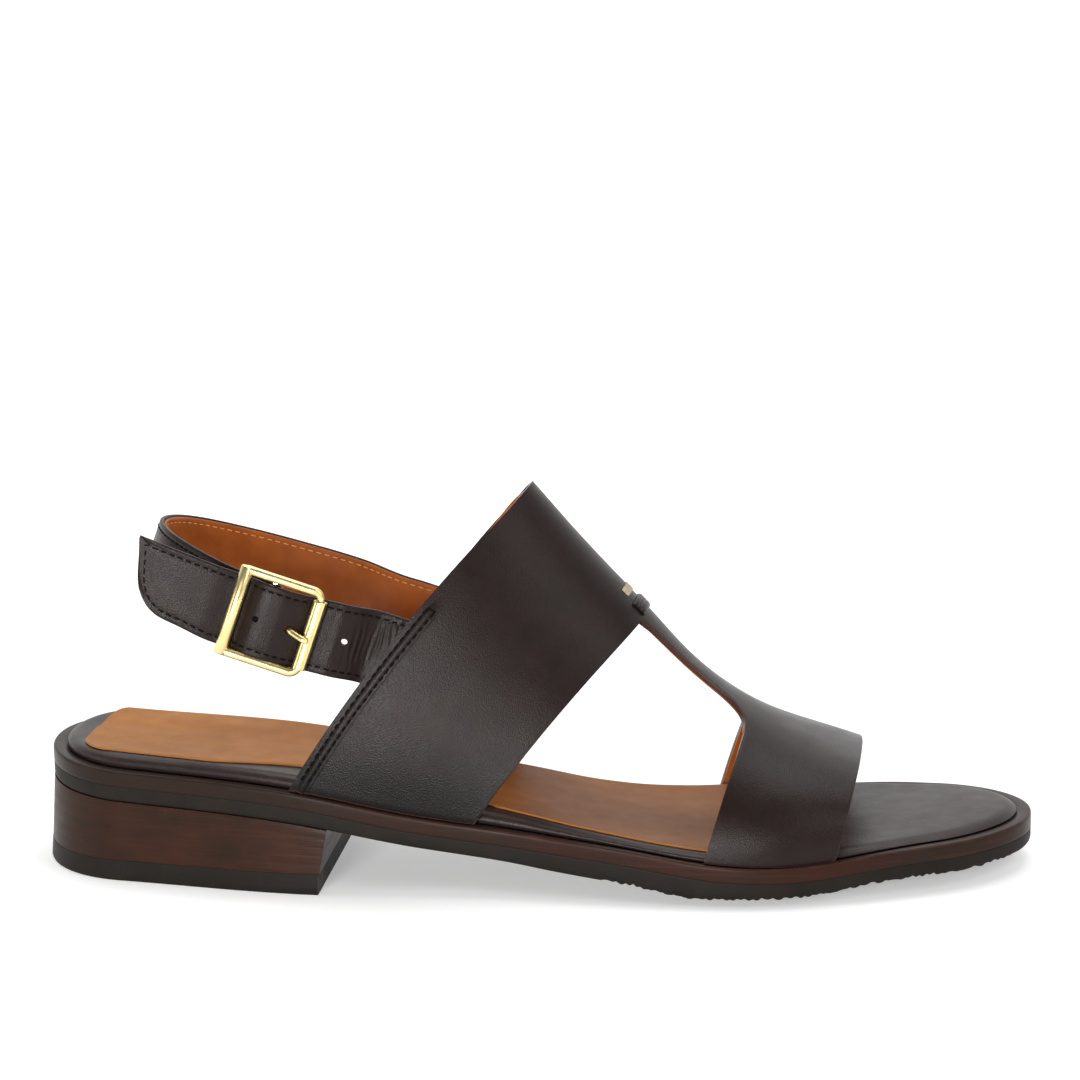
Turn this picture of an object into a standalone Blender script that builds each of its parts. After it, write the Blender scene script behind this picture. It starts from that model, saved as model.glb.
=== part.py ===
"""Slingback sandal, right shoe: a T-strap leather upper on a low stacked heel.

X runs to the toe, -Y is the outer side with the buckle, Z is up.
Sizes are millimetres, and meshes are turned into metres as they are made.
A station s is the distance along the sole from the back of the heel.
"""

import math
from collections import namedtuple

import bmesh
import bpy
import numpy as np
from mathutils import Euler, Matrix, Vector

MM = 0.001

# Sole
SOLE_LENGTH = 262.0
HEEL_ROUND = 24.0
TOE_ROUND = 24.0
ROUND_POWER = 2.15
GAP = 0.3
MIDSOLE = 4.0
LEDGE = 3.9
BREAST_TOP = 79.0
BREAST_BOTTOM = 76.5
TOP_PIECE = 5.5
HEEL_FLARE = 1.0
CAMBER = 1.3
CAMBER_FLAT = 0.4
LUG_DEPTH = 0.7
LUG_PITCH = 8.0
LUG_WIDTH = 5.0
LUG_FIRST = 153.0
LUG_LAST = 250.0

# Footbed and sock
SOCK_INSET = 4.2
SOCK = 1.0
SOCK_END = 197.0

# Upper
WALL = 2.2
FOOT_CLEAR = 0.5
FOLD_EXTRA = 1.0
SIDE_COLUMNS = 10
BAR_COLUMNS = 6
INSTEP_ROWS = 10
BAR_ROWS = 9
FOREFOOT_ROWS = 9

# Sling, in a tilted frame: x along the straps to the toe, z across their width
SLING_TILT = 19.3
SLING_ROLL = -5.9
SLING_AT = (27.3, 0.0, 84.0)
STRAP_WIDTH = 19.0
STRAP = 2.0
SKIVED = 1.2
FOLDED = 1.1
HOLE = 1.7
PRONG_HOLE = 2.7
HOLE_FIRST = 37.7
HOLE_PITCH = 7.7

# Buckle, in the sling frame
LEFT_BAR = 32.2
CENTRE_BAR = 39.6
RIGHT_BAR = 52.6
BAR_LIFT = 1.25
ROLLER_LIFT = 1.75
CENTRE_DROP = -2.5
FRAME_HALF = 11.4
BAR_RADIUS = 1.15
AXLE_RADIUS = 0.9
CENTRE_RADIUS = 0.9
ROLLER_RADIUS = 1.6
ROLLER_BORE = 1.2
PRONG_RADIUS = 0.75

# Plan middle and half width, height of the rim, thickness, and how far the rim tilts to the inner side
Station = namedtuple("Station", "s centre half rim thick tilt")
SOLE = [
    Station(0, 8.2, 28.5, 30.9, 8.2, 0.0),
    Station(25, 5.5, 29.8, 29.2, 8.2, 0.0),
    Station(50, 1.2, 31.2, 28.3, 8.2, 0.0),
    Station(77, -2.8, 31.8, 25.8, 8.2, 0.0),
    Station(100, -3.3, 31.8, 21.0, 7.7, 0.3),
    Station(127, -2.5, 33.3, 16.6, 7.2, 1.1),
    Station(153, -2.0, 37.6, 12.2, 7.6, 1.9),
    Station(178, 0.2, 42.8, 8.9, 9.1, 1.2),
    Station(192, 1.1, 43.8, 8.6, 8.9, 0.6),
    Station(208, 1.9, 40.6, 9.1, 8.6, 0.3),
    Station(226, 2.6, 34.1, 11.2, 8.4, 0.0),
    Station(245, 5.2, 27.8, 12.6, 8.2, 0.0),
    Station(262, 6.0, 23.0, 13.3, 7.6, 0.0),
]

# An arch crosses the foot from the ledge on the outer side, over the ridge, to the ledge on the inner side
Arch = namedtuple("Arch", "at outer inner ridge height power")
ARCHES = [
    Arch(0, 70.5, 72.5, 130.5, 100.5, 2.00),
    Arch(1, 94.5, 96.0, 145.2, 82.8, 2.05),
    Arch(2, 118.8, 120.0, 160.2, 66.0, 2.05),
    Arch(3, 148.0, 149.5, 172.7, 51.2, 1.95),
    Arch(4, 178.6, 178.0, 189.0, 39.0, 1.95),
    Arch(5, 195.0, 192.5, 202.2, 33.6, 2.30),
    Arch(6, 211.0, 206.0, 215.3, 28.9, 2.70),
]
RIDGE_Y = 3.5

# Half angle of the T-bar about the ridge, in degrees, along the arches
BarEdge = namedtuple("BarEdge", "at angle")
BAR_EDGES = [
    BarEdge(0.0, 15.0),
    BarEdge(1.7, 14.0),
    BarEdge(2.0, 13.0),
    BarEdge(2.25, 10.0),
    BarEdge(3.0, 9.0),
    BarEdge(3.45, 10.0),
    BarEdge(3.7, 12.2),
    BarEdge(3.87, 15.5),
    BarEdge(3.96, 19.5),
    BarEdge(4.0, 24.0),
    BarEdge(6.0, 24.0),
]

# Plan of the two straps in the sling frame: along, and across with the outer side negative
PlanPoint = namedtuple("PlanPoint", "along across")
SLING_PLAN = [
    PlanPoint(70.0, 28.6),
    PlanPoint(54.0, 30.0),
    PlanPoint(40.0, 30.2),
    PlanPoint(24.0, 27.0),
    PlanPoint(11.6, 19.5),
    PlanPoint(4.8, 9.0),
    PlanPoint(3.0, 0.0),
    PlanPoint(5.8, -8.5),
    PlanPoint(12.2, -17.0),
    PlanPoint(20.0, -23.4),
    PlanPoint(28.0, -27.0),
    PlanPoint(34.0, -28.2),
]
STRAP_LINE = [
    PlanPoint(72.0, -28.2),
    PlanPoint(62.0, -29.6),
    PlanPoint(52.0, -31.6),
    PlanPoint(40.0, -32.7),
    PlanPoint(28.0, -33.2),
    PlanPoint(16.0, -33.2),
    PlanPoint(2.8, -32.4),
]

# How far the punched strap stands off its line as it weaves through the buckle
Weave = namedtuple("Weave", "along lift")
WEAVE = [
    Weave(2.8, 1.1),
    Weave(24.0, 0.0),
    Weave(29.5, -1.0),
    Weave(32.2, -1.3),
    Weave(34.6, -0.7),
    Weave(37.4, 0.9),
    Weave(39.6, 1.3),
    Weave(42.4, 1.2),
    Weave(46.0, 0.3),
    Weave(50.0, -1.1),
    Weave(52.6, -1.3),
    Weave(56.0, -0.9),
    Weave(61.0, 0.0),
    Weave(90.0, 0.0),
]

# How deep the punched strap reaches below its top edge, at distances from its slanted tip
Tip = namedtuple("Tip", "distance depth")
TIP = [
    Tip(0.0, 0.8),
    Tip(1.0, 4.2),
    Tip(2.75, 11.2),
    Tip(4.0, 13.2),
    Tip(6.0, 15.0),
    Tip(9.0, 16.6),
    Tip(13.0, 17.8),
    Tip(18.0, 18.7),
    Tip(23.0, 19.0),
    Tip(200.0, 19.0),
]

# Thickness of the footbed along the sole
Bed = namedtuple("Bed", "s thick")
FOOTBED = [Bed(0, 3.3), Bed(175, 3.2), Bed(205, 2.7), Bed(230, 2.0), Bed(250, 1.9), Bed(262, 1.4)]

# sRGB colours, roughness, metallic
Finish = namedtuple("Finish", "colour roughness metallic")
FINISHES = {
    "upper_leather": Finish((62, 50, 46), 0.42, 0.0),
    "sock_leather": Finish((186, 127, 80), 0.60, 0.0),
    "edge_brown": Finish((75, 43, 31), 0.45, 0.0),
    "stack_brown": Finish((76, 46, 31), 0.50, 0.0),
    "sole_rubber": Finish((45, 43, 38), 0.60, 0.0),
    "buckle_gold": Finish((225, 205, 130), 0.20, 1.0),
}


def column(rows, name):
    """One named column of a table."""
    return np.array([getattr(row, name) for row in rows], float)


def smooth(at, xs, ys):
    """A smooth curve through the rows of a table, without overshoot, read at the given places."""
    at = np.asarray(at, float)
    xs = np.asarray(xs, float)
    ys = np.asarray(ys, float)
    steps = np.diff(xs)
    slopes = np.diff(ys) / steps
    tangents = np.empty(len(xs))
    tangents[0] = slopes[0]
    tangents[-1] = slopes[-1]
    for i in range(1, len(xs) - 1):
        before, after = slopes[i - 1], slopes[i]
        if before * after <= 0:
            tangents[i] = 0
            continue
        w1 = 2 * steps[i] + steps[i - 1]
        w2 = steps[i] + 2 * steps[i - 1]
        tangents[i] = (w1 + w2) / (w1 / before + w2 / after)
    i = np.clip(np.searchsorted(xs, at) - 1, 0, len(steps) - 1)
    t = (np.clip(at, xs[0], xs[-1]) - xs[i]) / steps[i]
    value = (2 * t**3 - 3 * t**2 + 1) * ys[i]
    value += (t**3 - 2 * t**2 + t) * steps[i] * tangents[i]
    value += (3 * t**2 - 2 * t**3) * ys[i + 1]
    value += (t**3 - t**2) * steps[i] * tangents[i + 1]
    return value


def along(rows, name, at):
    """A column of a table, smoothed along its first column."""
    return smooth(at, [row[0] for row in rows], column(rows, name))


def fair(rows, name, at):
    """A column of a table as a natural cubic curve along its first column, which bends without corners."""
    at = np.asarray(at, float)
    xs = np.array([row[0] for row in rows], float)
    ys = column(rows, name)
    steps = np.diff(xs)
    count = len(xs)
    system = np.eye(count)
    right = np.zeros(count)
    for i in range(1, count - 1):
        system[i, i - 1 : i + 2] = steps[i - 1], 2 * (steps[i - 1] + steps[i]), steps[i]
        right[i] = 6 * ((ys[i + 1] - ys[i]) / steps[i] - (ys[i] - ys[i - 1]) / steps[i - 1])
    bend = np.linalg.solve(system, right)
    i = np.clip(np.searchsorted(xs, at) - 1, 0, count - 2)
    step = steps[i]
    before = np.clip(at, xs[0], xs[-1]) - xs[i]
    after = step - before
    value = (bend[i] * after**3 + bend[i + 1] * before**3) / (6 * step)
    value += (ys[i] / step - bend[i] * step / 6) * after
    value += (ys[i + 1] / step - bend[i + 1] * step / 6) * before
    return value


def rounding(distance, length):
    """How much of the full width is left at a distance from a rounded end."""
    u = np.clip(1 - np.asarray(distance, float) / length, 0, 1)
    return (1 - u**ROUND_POWER) ** (1 / ROUND_POWER)


def outline(s, side):
    """The sole's plan edge at stations s, with side -1 for the outer and 1 for the inner edge."""
    half = fair(SOLE, "half", s) * rounding(s, HEEL_ROUND) * rounding(SOLE_LENGTH - s, TOE_ROUND)
    return fair(SOLE, "centre", s) + side * half


def edge(s, side, inset):
    """Points of the plan edge moved inwards along its normals."""
    s = np.asarray(s, float)
    y = outline(s, side)
    step = 0.05
    low = np.clip(s - step, 0, SOLE_LENGTH)
    high = np.clip(s + step, 0, SOLE_LENGTH)
    ds = high - low
    dy = outline(high, side) - outline(low, side)
    length = np.hypot(ds, dy)
    normal_s = side * dy / length
    normal_y = -side * ds / length
    ends = (s < 1e-9, s > SOLE_LENGTH - 1e-9)
    normal_s = np.where(ends[0], 1.0, np.where(ends[1], -1.0, normal_s))
    normal_y = np.where(ends[0] | ends[1], 0.0, normal_y)
    return np.stack([s + inset * normal_s, y + inset * normal_y], axis=-1)


def camber(s, y):
    """How far the forefoot's sides lift off the ground."""
    share = smooth(s, [0, 135, 168, 215, 250, 262], [0, 0, 1, 1, 0, 0])
    middle = fair(SOLE, "centre", s)
    half = fair(SOLE, "half", s)
    beyond = np.clip(np.abs(y - middle) / half - CAMBER_FLAT, 0, 1) / (1 - CAMBER_FLAT)
    return CAMBER * share * beyond**2


def rim(s, y):
    """Height of the midsole's top."""
    place = (fair(SOLE, "centre", s) - y) / fair(SOLE, "half", s)
    return fair(SOLE, "rim", s) + camber(s, y) + fair(SOLE, "tilt", s) * place


def under(s, y):
    """Height of the outsole's bottom, without the grooves of the tread, flat where it stands."""
    return np.maximum(fair(SOLE, "rim", s) - fair(SOLE, "thick", s), 0.0) + camber(s, y)


def groove(s):
    """Depth cut between the lugs at stations s."""
    part = (np.asarray(s, float) - LUG_FIRST) % LUG_PITCH
    return np.where((s > LUG_FIRST) & (s < LUG_LAST) & (part > LUG_WIDTH), LUG_DEPTH, 0.0)


def even_stations(count):
    """Stations from heel to toe, closer together at the rounded ends."""
    return SOLE_LENGTH * (1 - np.cos(np.pi * np.arange(count + 1) / count)) / 2


def lug_stations(count):
    """Stations with a pair at each wall of each lug."""
    walls = []
    for first in np.arange(LUG_FIRST, LUG_LAST, LUG_PITCH):
        walls += [first - 0.15, first + 0.15, first + LUG_WIDTH - 0.15, first + LUG_WIDTH + 0.15]
    plain = even_stations(count)
    far = np.min(np.abs(plain[:, None] - np.array(walls)[None, :]), axis=1) > 0.8
    return np.sort(np.concatenate([plain[far], walls]))


HEEL_BACK = -HEEL_FLARE
MIDDLE_X = (SOLE_LENGTH + HEEL_BACK) / 2
PLAN_STATIONS = even_stations(400)
MIDDLE_Y = (outline(PLAN_STATIONS, -1).min() + outline(PLAN_STATIONS, 1).max()) / 2


def metres(points):
    """Shoe millimetres turned into the part's own frame in metres."""
    return (np.asarray(points, float) - (MIDDLE_X, MIDDLE_Y, 0.0)) * MM


def new_material(name):
    """A material with the named finish."""
    finish = FINISHES[name]
    srgb = np.array(finish.colour) / 255
    linear = np.where(srgb > 0.04045, ((srgb + 0.055) / 1.055) ** 2.4, srgb / 12.92)
    material = bpy.data.materials.new(name)
    material.use_nodes = True
    shader = material.node_tree.nodes["Principled BSDF"]
    shader.inputs["Base Color"].default_value = (*linear, 1.0)
    shader.inputs["Roughness"].default_value = finish.roughness
    shader.inputs["Metallic"].default_value = finish.metallic
    return material


class Workshop:
    """The collections, materials and object makers that the pieces share."""

    def __init__(self):
        self.parts = bpy.data.collections.new("slingback_sandal")
        self.helpers = bpy.data.collections.new("cutters")
        bpy.context.scene.collection.children.link(self.parts)
        bpy.context.scene.collection.children.link(self.helpers)
        self.materials = {name: new_material(name) for name in FINISHES}

    def part(self, name, mesh, finish):
        """A part's object from a mesh, with its material."""
        thing = bpy.data.objects.new(name, mesh)
        thing.data.materials.append(self.materials[finish])
        self.parts.objects.link(thing)
        return thing

    def cutter(self, name, mesh):
        """A helper that only cuts or joins."""
        thing = bpy.data.objects.new(name, mesh)
        thing.hide_render = True
        thing.display_type = "WIRE"
        self.helpers.objects.link(thing)
        return thing

    def boolean(self, thing, other, operation):
        """Cuts or joins one object with another."""
        modifier = thing.modifiers.new(other.name, "BOOLEAN")
        modifier.operation = operation
        modifier.solver = "EXACT"
        modifier.object = other


def shade(mesh, degrees):
    """Smooth shading with sharp edges over an angle."""
    mesh.shade_smooth()
    mesh.set_sharp_from_angle(angle=math.radians(degrees))


def mesh_from(bm, name, degrees=35.0):
    """A shaded mesh from an edited one, facing outwards."""
    bmesh.ops.recalc_face_normals(bm, faces=bm.faces)
    mesh = bpy.data.meshes.new(name)
    bm.to_mesh(mesh)
    bm.free()
    shade(mesh, degrees)
    return mesh


def slab(name, levels, stations, columns=4, flat_end=False):
    """A layer of the sole lofted from its bottom ring to its top ring.

    Each level gives an inset from the sole's edge, a height function of station and place across,
    and how far its stations are stretched, which slants a flat end.
    """
    bm = bmesh.new()
    count = len(stations)
    rings = []
    for inset, height, stretch in levels:
        outer = edge(stations * stretch, -1, inset)
        inner = edge(stations * stretch, 1, inset)
        rows = []
        for k in range(count):
            tip = k == 0 or (k == count - 1 and not flat_end)
            shares = [0.5] if tip else np.linspace(0, 1, columns + 1)
            row = []
            for share in shares:
                s, y = outer[k] + share * (inner[k] - outer[k])
                row.append((s, y, float(height(s, y))))
            rows.append(row)
        rings.append(rows)
    first, last = 0, len(rings) - 1
    verts = {}

    def vert(level, k, c):
        row = rings[level][k]
        c = c if len(row) > 1 else 0
        key = (level, k, c)
        if key not in verts:
            verts[key] = bm.verts.new(metres(row[c]))
        return verts[key]

    def face(*corners):
        kept = list(dict.fromkeys(corners))
        if len(kept) > 2:
            bm.faces.new(kept)

    for k in range(count - 1):
        for c in range(columns):
            for level in (first, last):
                face(vert(level, k, c), vert(level, k, c + 1), vert(level, k + 1, c + 1), vert(level, k + 1, c))
        for level in range(last):
            for c in (0, columns):
                face(vert(level, k, c), vert(level, k + 1, c), vert(level + 1, k + 1, c), vert(level + 1, k, c))
    if flat_end:
        k = count - 1
        for level in range(last):
            for c in range(columns):
                face(vert(level, k, c), vert(level, k, c + 1), vert(level + 1, k, c + 1), vert(level + 1, k, c))
    return mesh_from(bm, name)


def build_sole(shop):
    """Top piece, heel block, outsole, midsole, footbed and sock."""
    plain = even_stations(36)

    def outsole_under(s, y):
        return under(s, y) + groove(s)

    def outsole_top(s, y):
        return rim(s, y) - MIDSOLE - GAP

    lugged = lug_stations(30)
    levels = [
        (0.5, outsole_under, 1.0),
        (0.2, lambda s, y: outsole_under(s, y) + 0.6, 1.0),
        (0.2, outsole_top, 1.0),
    ]
    shop.part("outsole", slab("outsole", levels, lugged, columns=6), "sole_rubber")

    levels = [
        (0.3, lambda s, y: rim(s, y) - MIDSOLE, 1.0),
        (0.0, lambda s, y: rim(s, y) - MIDSOLE + 0.5, 1.0),
        (0.0, lambda s, y: rim(s, y) - 0.7, 1.0),
        (0.6, rim, 1.0),
    ]
    shop.part("midsole", slab("midsole", levels, plain, columns=6), "edge_brown")

    def footbed(share):
        def height(s, y):
            return rim(s, y) + GAP + share * along(FOOTBED, "thick", s)

        return height

    def footbed_top(s, y):
        across = (y - fair(SOLE, "centre", s)) / fair(SOLE, "half", s)
        dish = smooth(s, [0, 40, 90, 130, 262], [1.0, 1.2, 0.9, 0.2, 0.2])
        return footbed(1.0)(s, y) - dish * max(0.0, 1 - across**2 / 0.7)

    levels = [
        (LEDGE + 0.5, footbed(0.0), 1.0),
        (LEDGE, footbed(0.27), 1.0),
        (LEDGE + 0.3, footbed(0.6), 1.0),
        (LEDGE + 1.2, footbed(0.86), 1.0),
        (LEDGE + 3.0, footbed_top, 1.0),
    ]
    shop.part("footbed", slab("footbed", levels, plain, columns=6), "upper_leather")

    sock_stations = SOCK_END * (1 - np.cos(np.pi / 2 * np.arange(23) / 22))
    inset = LEDGE + SOCK_INSET
    levels = [
        (inset, lambda s, y: footbed_top(s, y) + GAP, 1.0),
        (inset, lambda s, y: footbed_top(s, y) + GAP + SOCK * 0.7, 1.0),
        (inset + 0.3, lambda s, y: footbed_top(s, y) + GAP + SOCK, 1.0),
    ]
    sock = slab("sock_lining", levels, sock_stations, columns=6, flat_end=True)
    shop.part("sock_lining", sock, "sock_leather")

    heel_stations = BREAST_BOTTOM * (1 - np.cos(np.pi / 2 * np.arange(15) / 14))
    slant = BREAST_TOP / BREAST_BOTTOM
    levels = [
        (0.3 - HEEL_FLARE * 0.8, lambda s, y: TOP_PIECE + GAP, 1.006),
        (0.2, lambda s, y: under(s, y) - GAP, slant),
    ]
    heel = slab("heel_block", levels, heel_stations, columns=4, flat_end=True)
    shop.part("heel_block", heel, "stack_brown")
    levels = [
        (0.5 - HEEL_FLARE, lambda s, y: 0.0, 1.0),
        (-HEEL_FLARE, lambda s, y: 0.6, 1.0),
        (0.3 - HEEL_FLARE * 0.8, lambda s, y: TOP_PIECE, 1.006),
    ]
    top_piece = slab("top_piece", levels, heel_stations, columns=4, flat_end=True)
    shop.part("top_piece", top_piece, "sole_rubber")


def arch_point(at, angle):
    """A point of the last's surface, on the arch at a place along the foot, at an angle over it."""
    outer_s = fair(ARCHES, "outer", at)
    inner_s = fair(ARCHES, "inner", at)
    power = 2 / fair(ARCHES, "power", at)
    clear = LEDGE - GAP
    outer_y = outline(outer_s, -1) + clear
    inner_y = outline(inner_s, 1) - clear
    outer_z = np.maximum(rim(outer_s, outer_y), rim(outer_s, outer_y - WALL)) + FOOT_CLEAR
    inner_z = np.maximum(rim(inner_s, inner_y), rim(inner_s, inner_y + WALL)) + FOOT_CLEAR
    outer = np.stack([outer_s, outer_y, outer_z], axis=-1)
    inner = np.stack([inner_s, inner_y, inner_z], axis=-1)
    share = (RIDGE_Y - outer_y) / (inner_y - outer_y)
    base = outer + share[..., None] * (inner - outer)
    height = fair(ARCHES, "height", at)
    ridge = np.stack([fair(ARCHES, "ridge", at), np.full_like(height, RIDGE_Y), height], axis=-1)
    foot = np.where((angle < 90)[..., None], outer, inner)
    level = np.abs(np.cos(np.radians(angle))) ** power
    rise = np.abs(np.sin(np.radians(angle))) ** power
    return base + level[..., None] * (foot - base) + rise[..., None] * (ridge - base)


def upper_angles(at):
    """The column angles at a place along the foot: outer side, T-bar, inner side."""
    half = float(along(BAR_EDGES, "angle", at))
    side = np.linspace(0, 1, SIDE_COLUMNS + 1)
    low = (90 - half) * side
    bar = np.linspace(90 - half, 90 + half, BAR_COLUMNS + 1)
    return np.concatenate([low, bar[1:], 180 - low[::-1][1:]])


def upper_rows():
    """Places along the foot, row by row from the back edge to the toe edge."""
    instep = np.linspace(0, 2, INSTEP_ROWS + 1)
    bar = 2 + 2 * (1 - (1 - np.linspace(0, 1, BAR_ROWS + 1)) ** 1.35)
    forefoot = np.linspace(4, 6, FOREFOOT_ROWS + 1)
    return np.concatenate([instep, bar[1:], forefoot[1:]])


def build_upper(shop):
    """Instep strap, T-bar and forefoot strap as one wall over the last."""
    rows = upper_rows()
    columns = 2 * SIDE_COLUMNS + BAR_COLUMNS
    bm = bmesh.new()
    deform = bm.verts.layers.deform.verify()
    bmesh.ops.create_grid(bm, x_segments=columns, y_segments=len(rows) - 1, size=1.0)
    cells = {}
    for vert in bm.verts:
        j = round((vert.co.x + 1) / 2 * columns)
        i = round((vert.co.y + 1) / 2 * (len(rows) - 1))
        cells[vert] = (i, j)
    windows = []
    for face in bm.faces:
        i = min(cells[vert][0] for vert in face.verts)
        j = min(cells[vert][1] for vert in face.verts)
        beside = j < SIDE_COLUMNS or j >= SIDE_COLUMNS + BAR_COLUMNS
        if INSTEP_ROWS <= i < INSTEP_ROWS + BAR_ROWS and beside:
            windows.append(face)
    bmesh.ops.delete(bm, geom=windows, context="FACES")
    full = WALL + FOLD_EXTRA
    for vert in bm.verts:
        i, j = cells[vert]
        angle = upper_angles(rows[i])[j]
        vert.co = metres(arch_point(np.array(rows[i]), np.array(angle)))
        folded = INSTEP_ROWS - 1 <= i <= INSTEP_ROWS and SIDE_COLUMNS < j < SIDE_COLUMNS + BAR_COLUMNS
        vert[deform][0] = 1.0 if folded else WALL / full
    for face in bm.faces:
        face.normal_update()
    highest = max(bm.faces, key=lambda f: f.calc_center_median().z)
    if highest.normal.z < 0:
        bmesh.ops.reverse_faces(bm, faces=bm.faces)
    mesh = bpy.data.meshes.new("upper")
    bm.to_mesh(mesh)
    bm.free()
    upper = shop.part("upper", mesh, "upper_leather")
    upper.vertex_groups.new(name="wall")
    wall = upper.modifiers.new("wall", "SOLIDIFY")
    wall.thickness = full * MM
    wall.offset = 1.0
    wall.use_even_offset = True
    wall.use_quality_normals = True
    wall.vertex_group = "wall"
    shade(mesh, 40)


def sling_frame():
    """Place and turn of the straps' frame."""
    turn = Euler((math.radians(SLING_ROLL), math.radians(SLING_TILT), 0.0)).to_matrix().to_4x4()
    return Matrix.Translation(Vector(metres(SLING_AT))) @ turn


def tucked(side, depths, thick):
    """Plan points and leans of a strap's end, which lies behind the wall at the upper's back edge."""
    places = np.linspace(0.0, 0.9, 90)
    angles = np.linspace(8, 75, 200) if side < 0 else np.linspace(172, 105, 200)
    grid_at, grid_angle = np.meshgrid(places, angles, indexing="ij")
    points = metres(arch_point(grid_at, grid_angle)).reshape(-1, 3)
    turned = np.array(sling_frame().inverted())
    local = (points @ turned[:3, :3].T + turned[:3, 3]) / MM
    local = local[np.abs(local[:, 2]) < STRAP_WIDTH / 2 + 0.5]
    start = local[np.abs(local[:, 2]) < 1.0][:, 0].min()
    found = []
    leans = []
    for depth in depths:
        reach = 1.0 if depth >= 0 else 4.0
        near = local[np.abs(local[:, 0] - start - depth) < reach]
        lean, level = np.polyfit(near[:, 2], near[:, 1], 1)
        inwards = -side * (near[:, 1] - lean * near[:, 2] - level)
        clear = thick / 2 + GAP + 0.2 + max(inwards.max(), 0.0)
        found.append(PlanPoint(start + depth, level - side * clear))
        leans.append(lean)
    return found, leans


def path_through(points, spacing):
    """Evenly spaced points of a smooth curve through plan points."""
    points = np.array(points, float)
    lengths = np.concatenate([[0], np.cumsum(np.hypot(*np.diff(points, axis=0).T))])
    fine = np.linspace(0, lengths[-1], 600)
    tangents = np.gradient(points, lengths, axis=0)
    k = np.clip(np.searchsorted(lengths, fine) - 1, 0, len(lengths) - 2)
    step = lengths[k + 1] - lengths[k]
    t = ((fine - lengths[k]) / step)[:, None]
    step = step[:, None]
    curve = (2 * t**3 - 3 * t**2 + 1) * points[k] + (t**3 - 2 * t**2 + t) * step * tangents[k]
    curve += (3 * t**2 - 2 * t**3) * points[k + 1] + (t**3 - t**2) * step * tangents[k + 1]
    run = np.concatenate([[0], np.cumsum(np.hypot(*np.diff(curve, axis=0).T))])
    even = np.linspace(0, run[-1], int(run[-1] / spacing) + 1)
    return np.stack([np.interp(even, run, curve[:, 0]), np.interp(even, run, curve[:, 1])], axis=-1)


def ribbon(shop, name, plan, sides, thickness, leans, frame, across=6):
    """A strap: a sheet along a plan curve, thickened both ways about it.

    Each side of its width is given along the plan, and a lean shifts its upper edge sideways.
    """
    count = len(plan)
    low, high = sides
    bm = bmesh.new()
    deform = bm.verts.layers.deform.verify()
    bmesh.ops.create_grid(bm, x_segments=count - 1, y_segments=across, size=1.0)
    full = max(thickness)
    for vert in bm.verts:
        k = round((vert.co.x + 1) / 2 * (count - 1))
        share = (vert.co.y + 1) / 2
        height = -low[k] + share * (low[k] + high[k])
        vert.co = Vector((plan[k][0], plan[k][1] + leans[k] * height, height)) * MM
        vert[deform][0] = thickness[k] / full
    mesh = bpy.data.meshes.new(name)
    bm.to_mesh(mesh)
    bm.free()
    strap = shop.part(name, mesh, "upper_leather")
    strap.parent = frame
    strap.vertex_groups.new(name="wall")
    wall = strap.modifiers.new("wall", "SOLIDIFY")
    wall.thickness = full * MM
    wall.offset = 0.0
    wall.use_even_offset = True
    wall.vertex_group = "wall"
    shade(mesh, 40)
    return strap


def strap_line(place):
    """Where the punched strap's line runs at a place along it, before it weaves."""
    rows = STRAP_LINE[::-1]
    return along(rows, "across", place)


def from_line(place, lift):
    """A plan point a distance outwards from the punched strap's line."""
    return PlanPoint(place, float(strap_line(place)) - lift)


def leans_along(plan, ends, leans, reach):
    """The lean of a strap's end, fading out along its plan from the end inwards."""
    run = np.concatenate([[0], np.cumsum(np.hypot(*np.diff(plan, axis=0).T))])
    inside = math.hypot(ends[0].along - ends[-1].along, ends[0].across - ends[-1].across)
    marks = [0.0, inside / 2, inside, inside + reach]
    return smooth(run, marks, [leans[0], leans[len(leans) // 2], leans[-1], 0.0])


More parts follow.
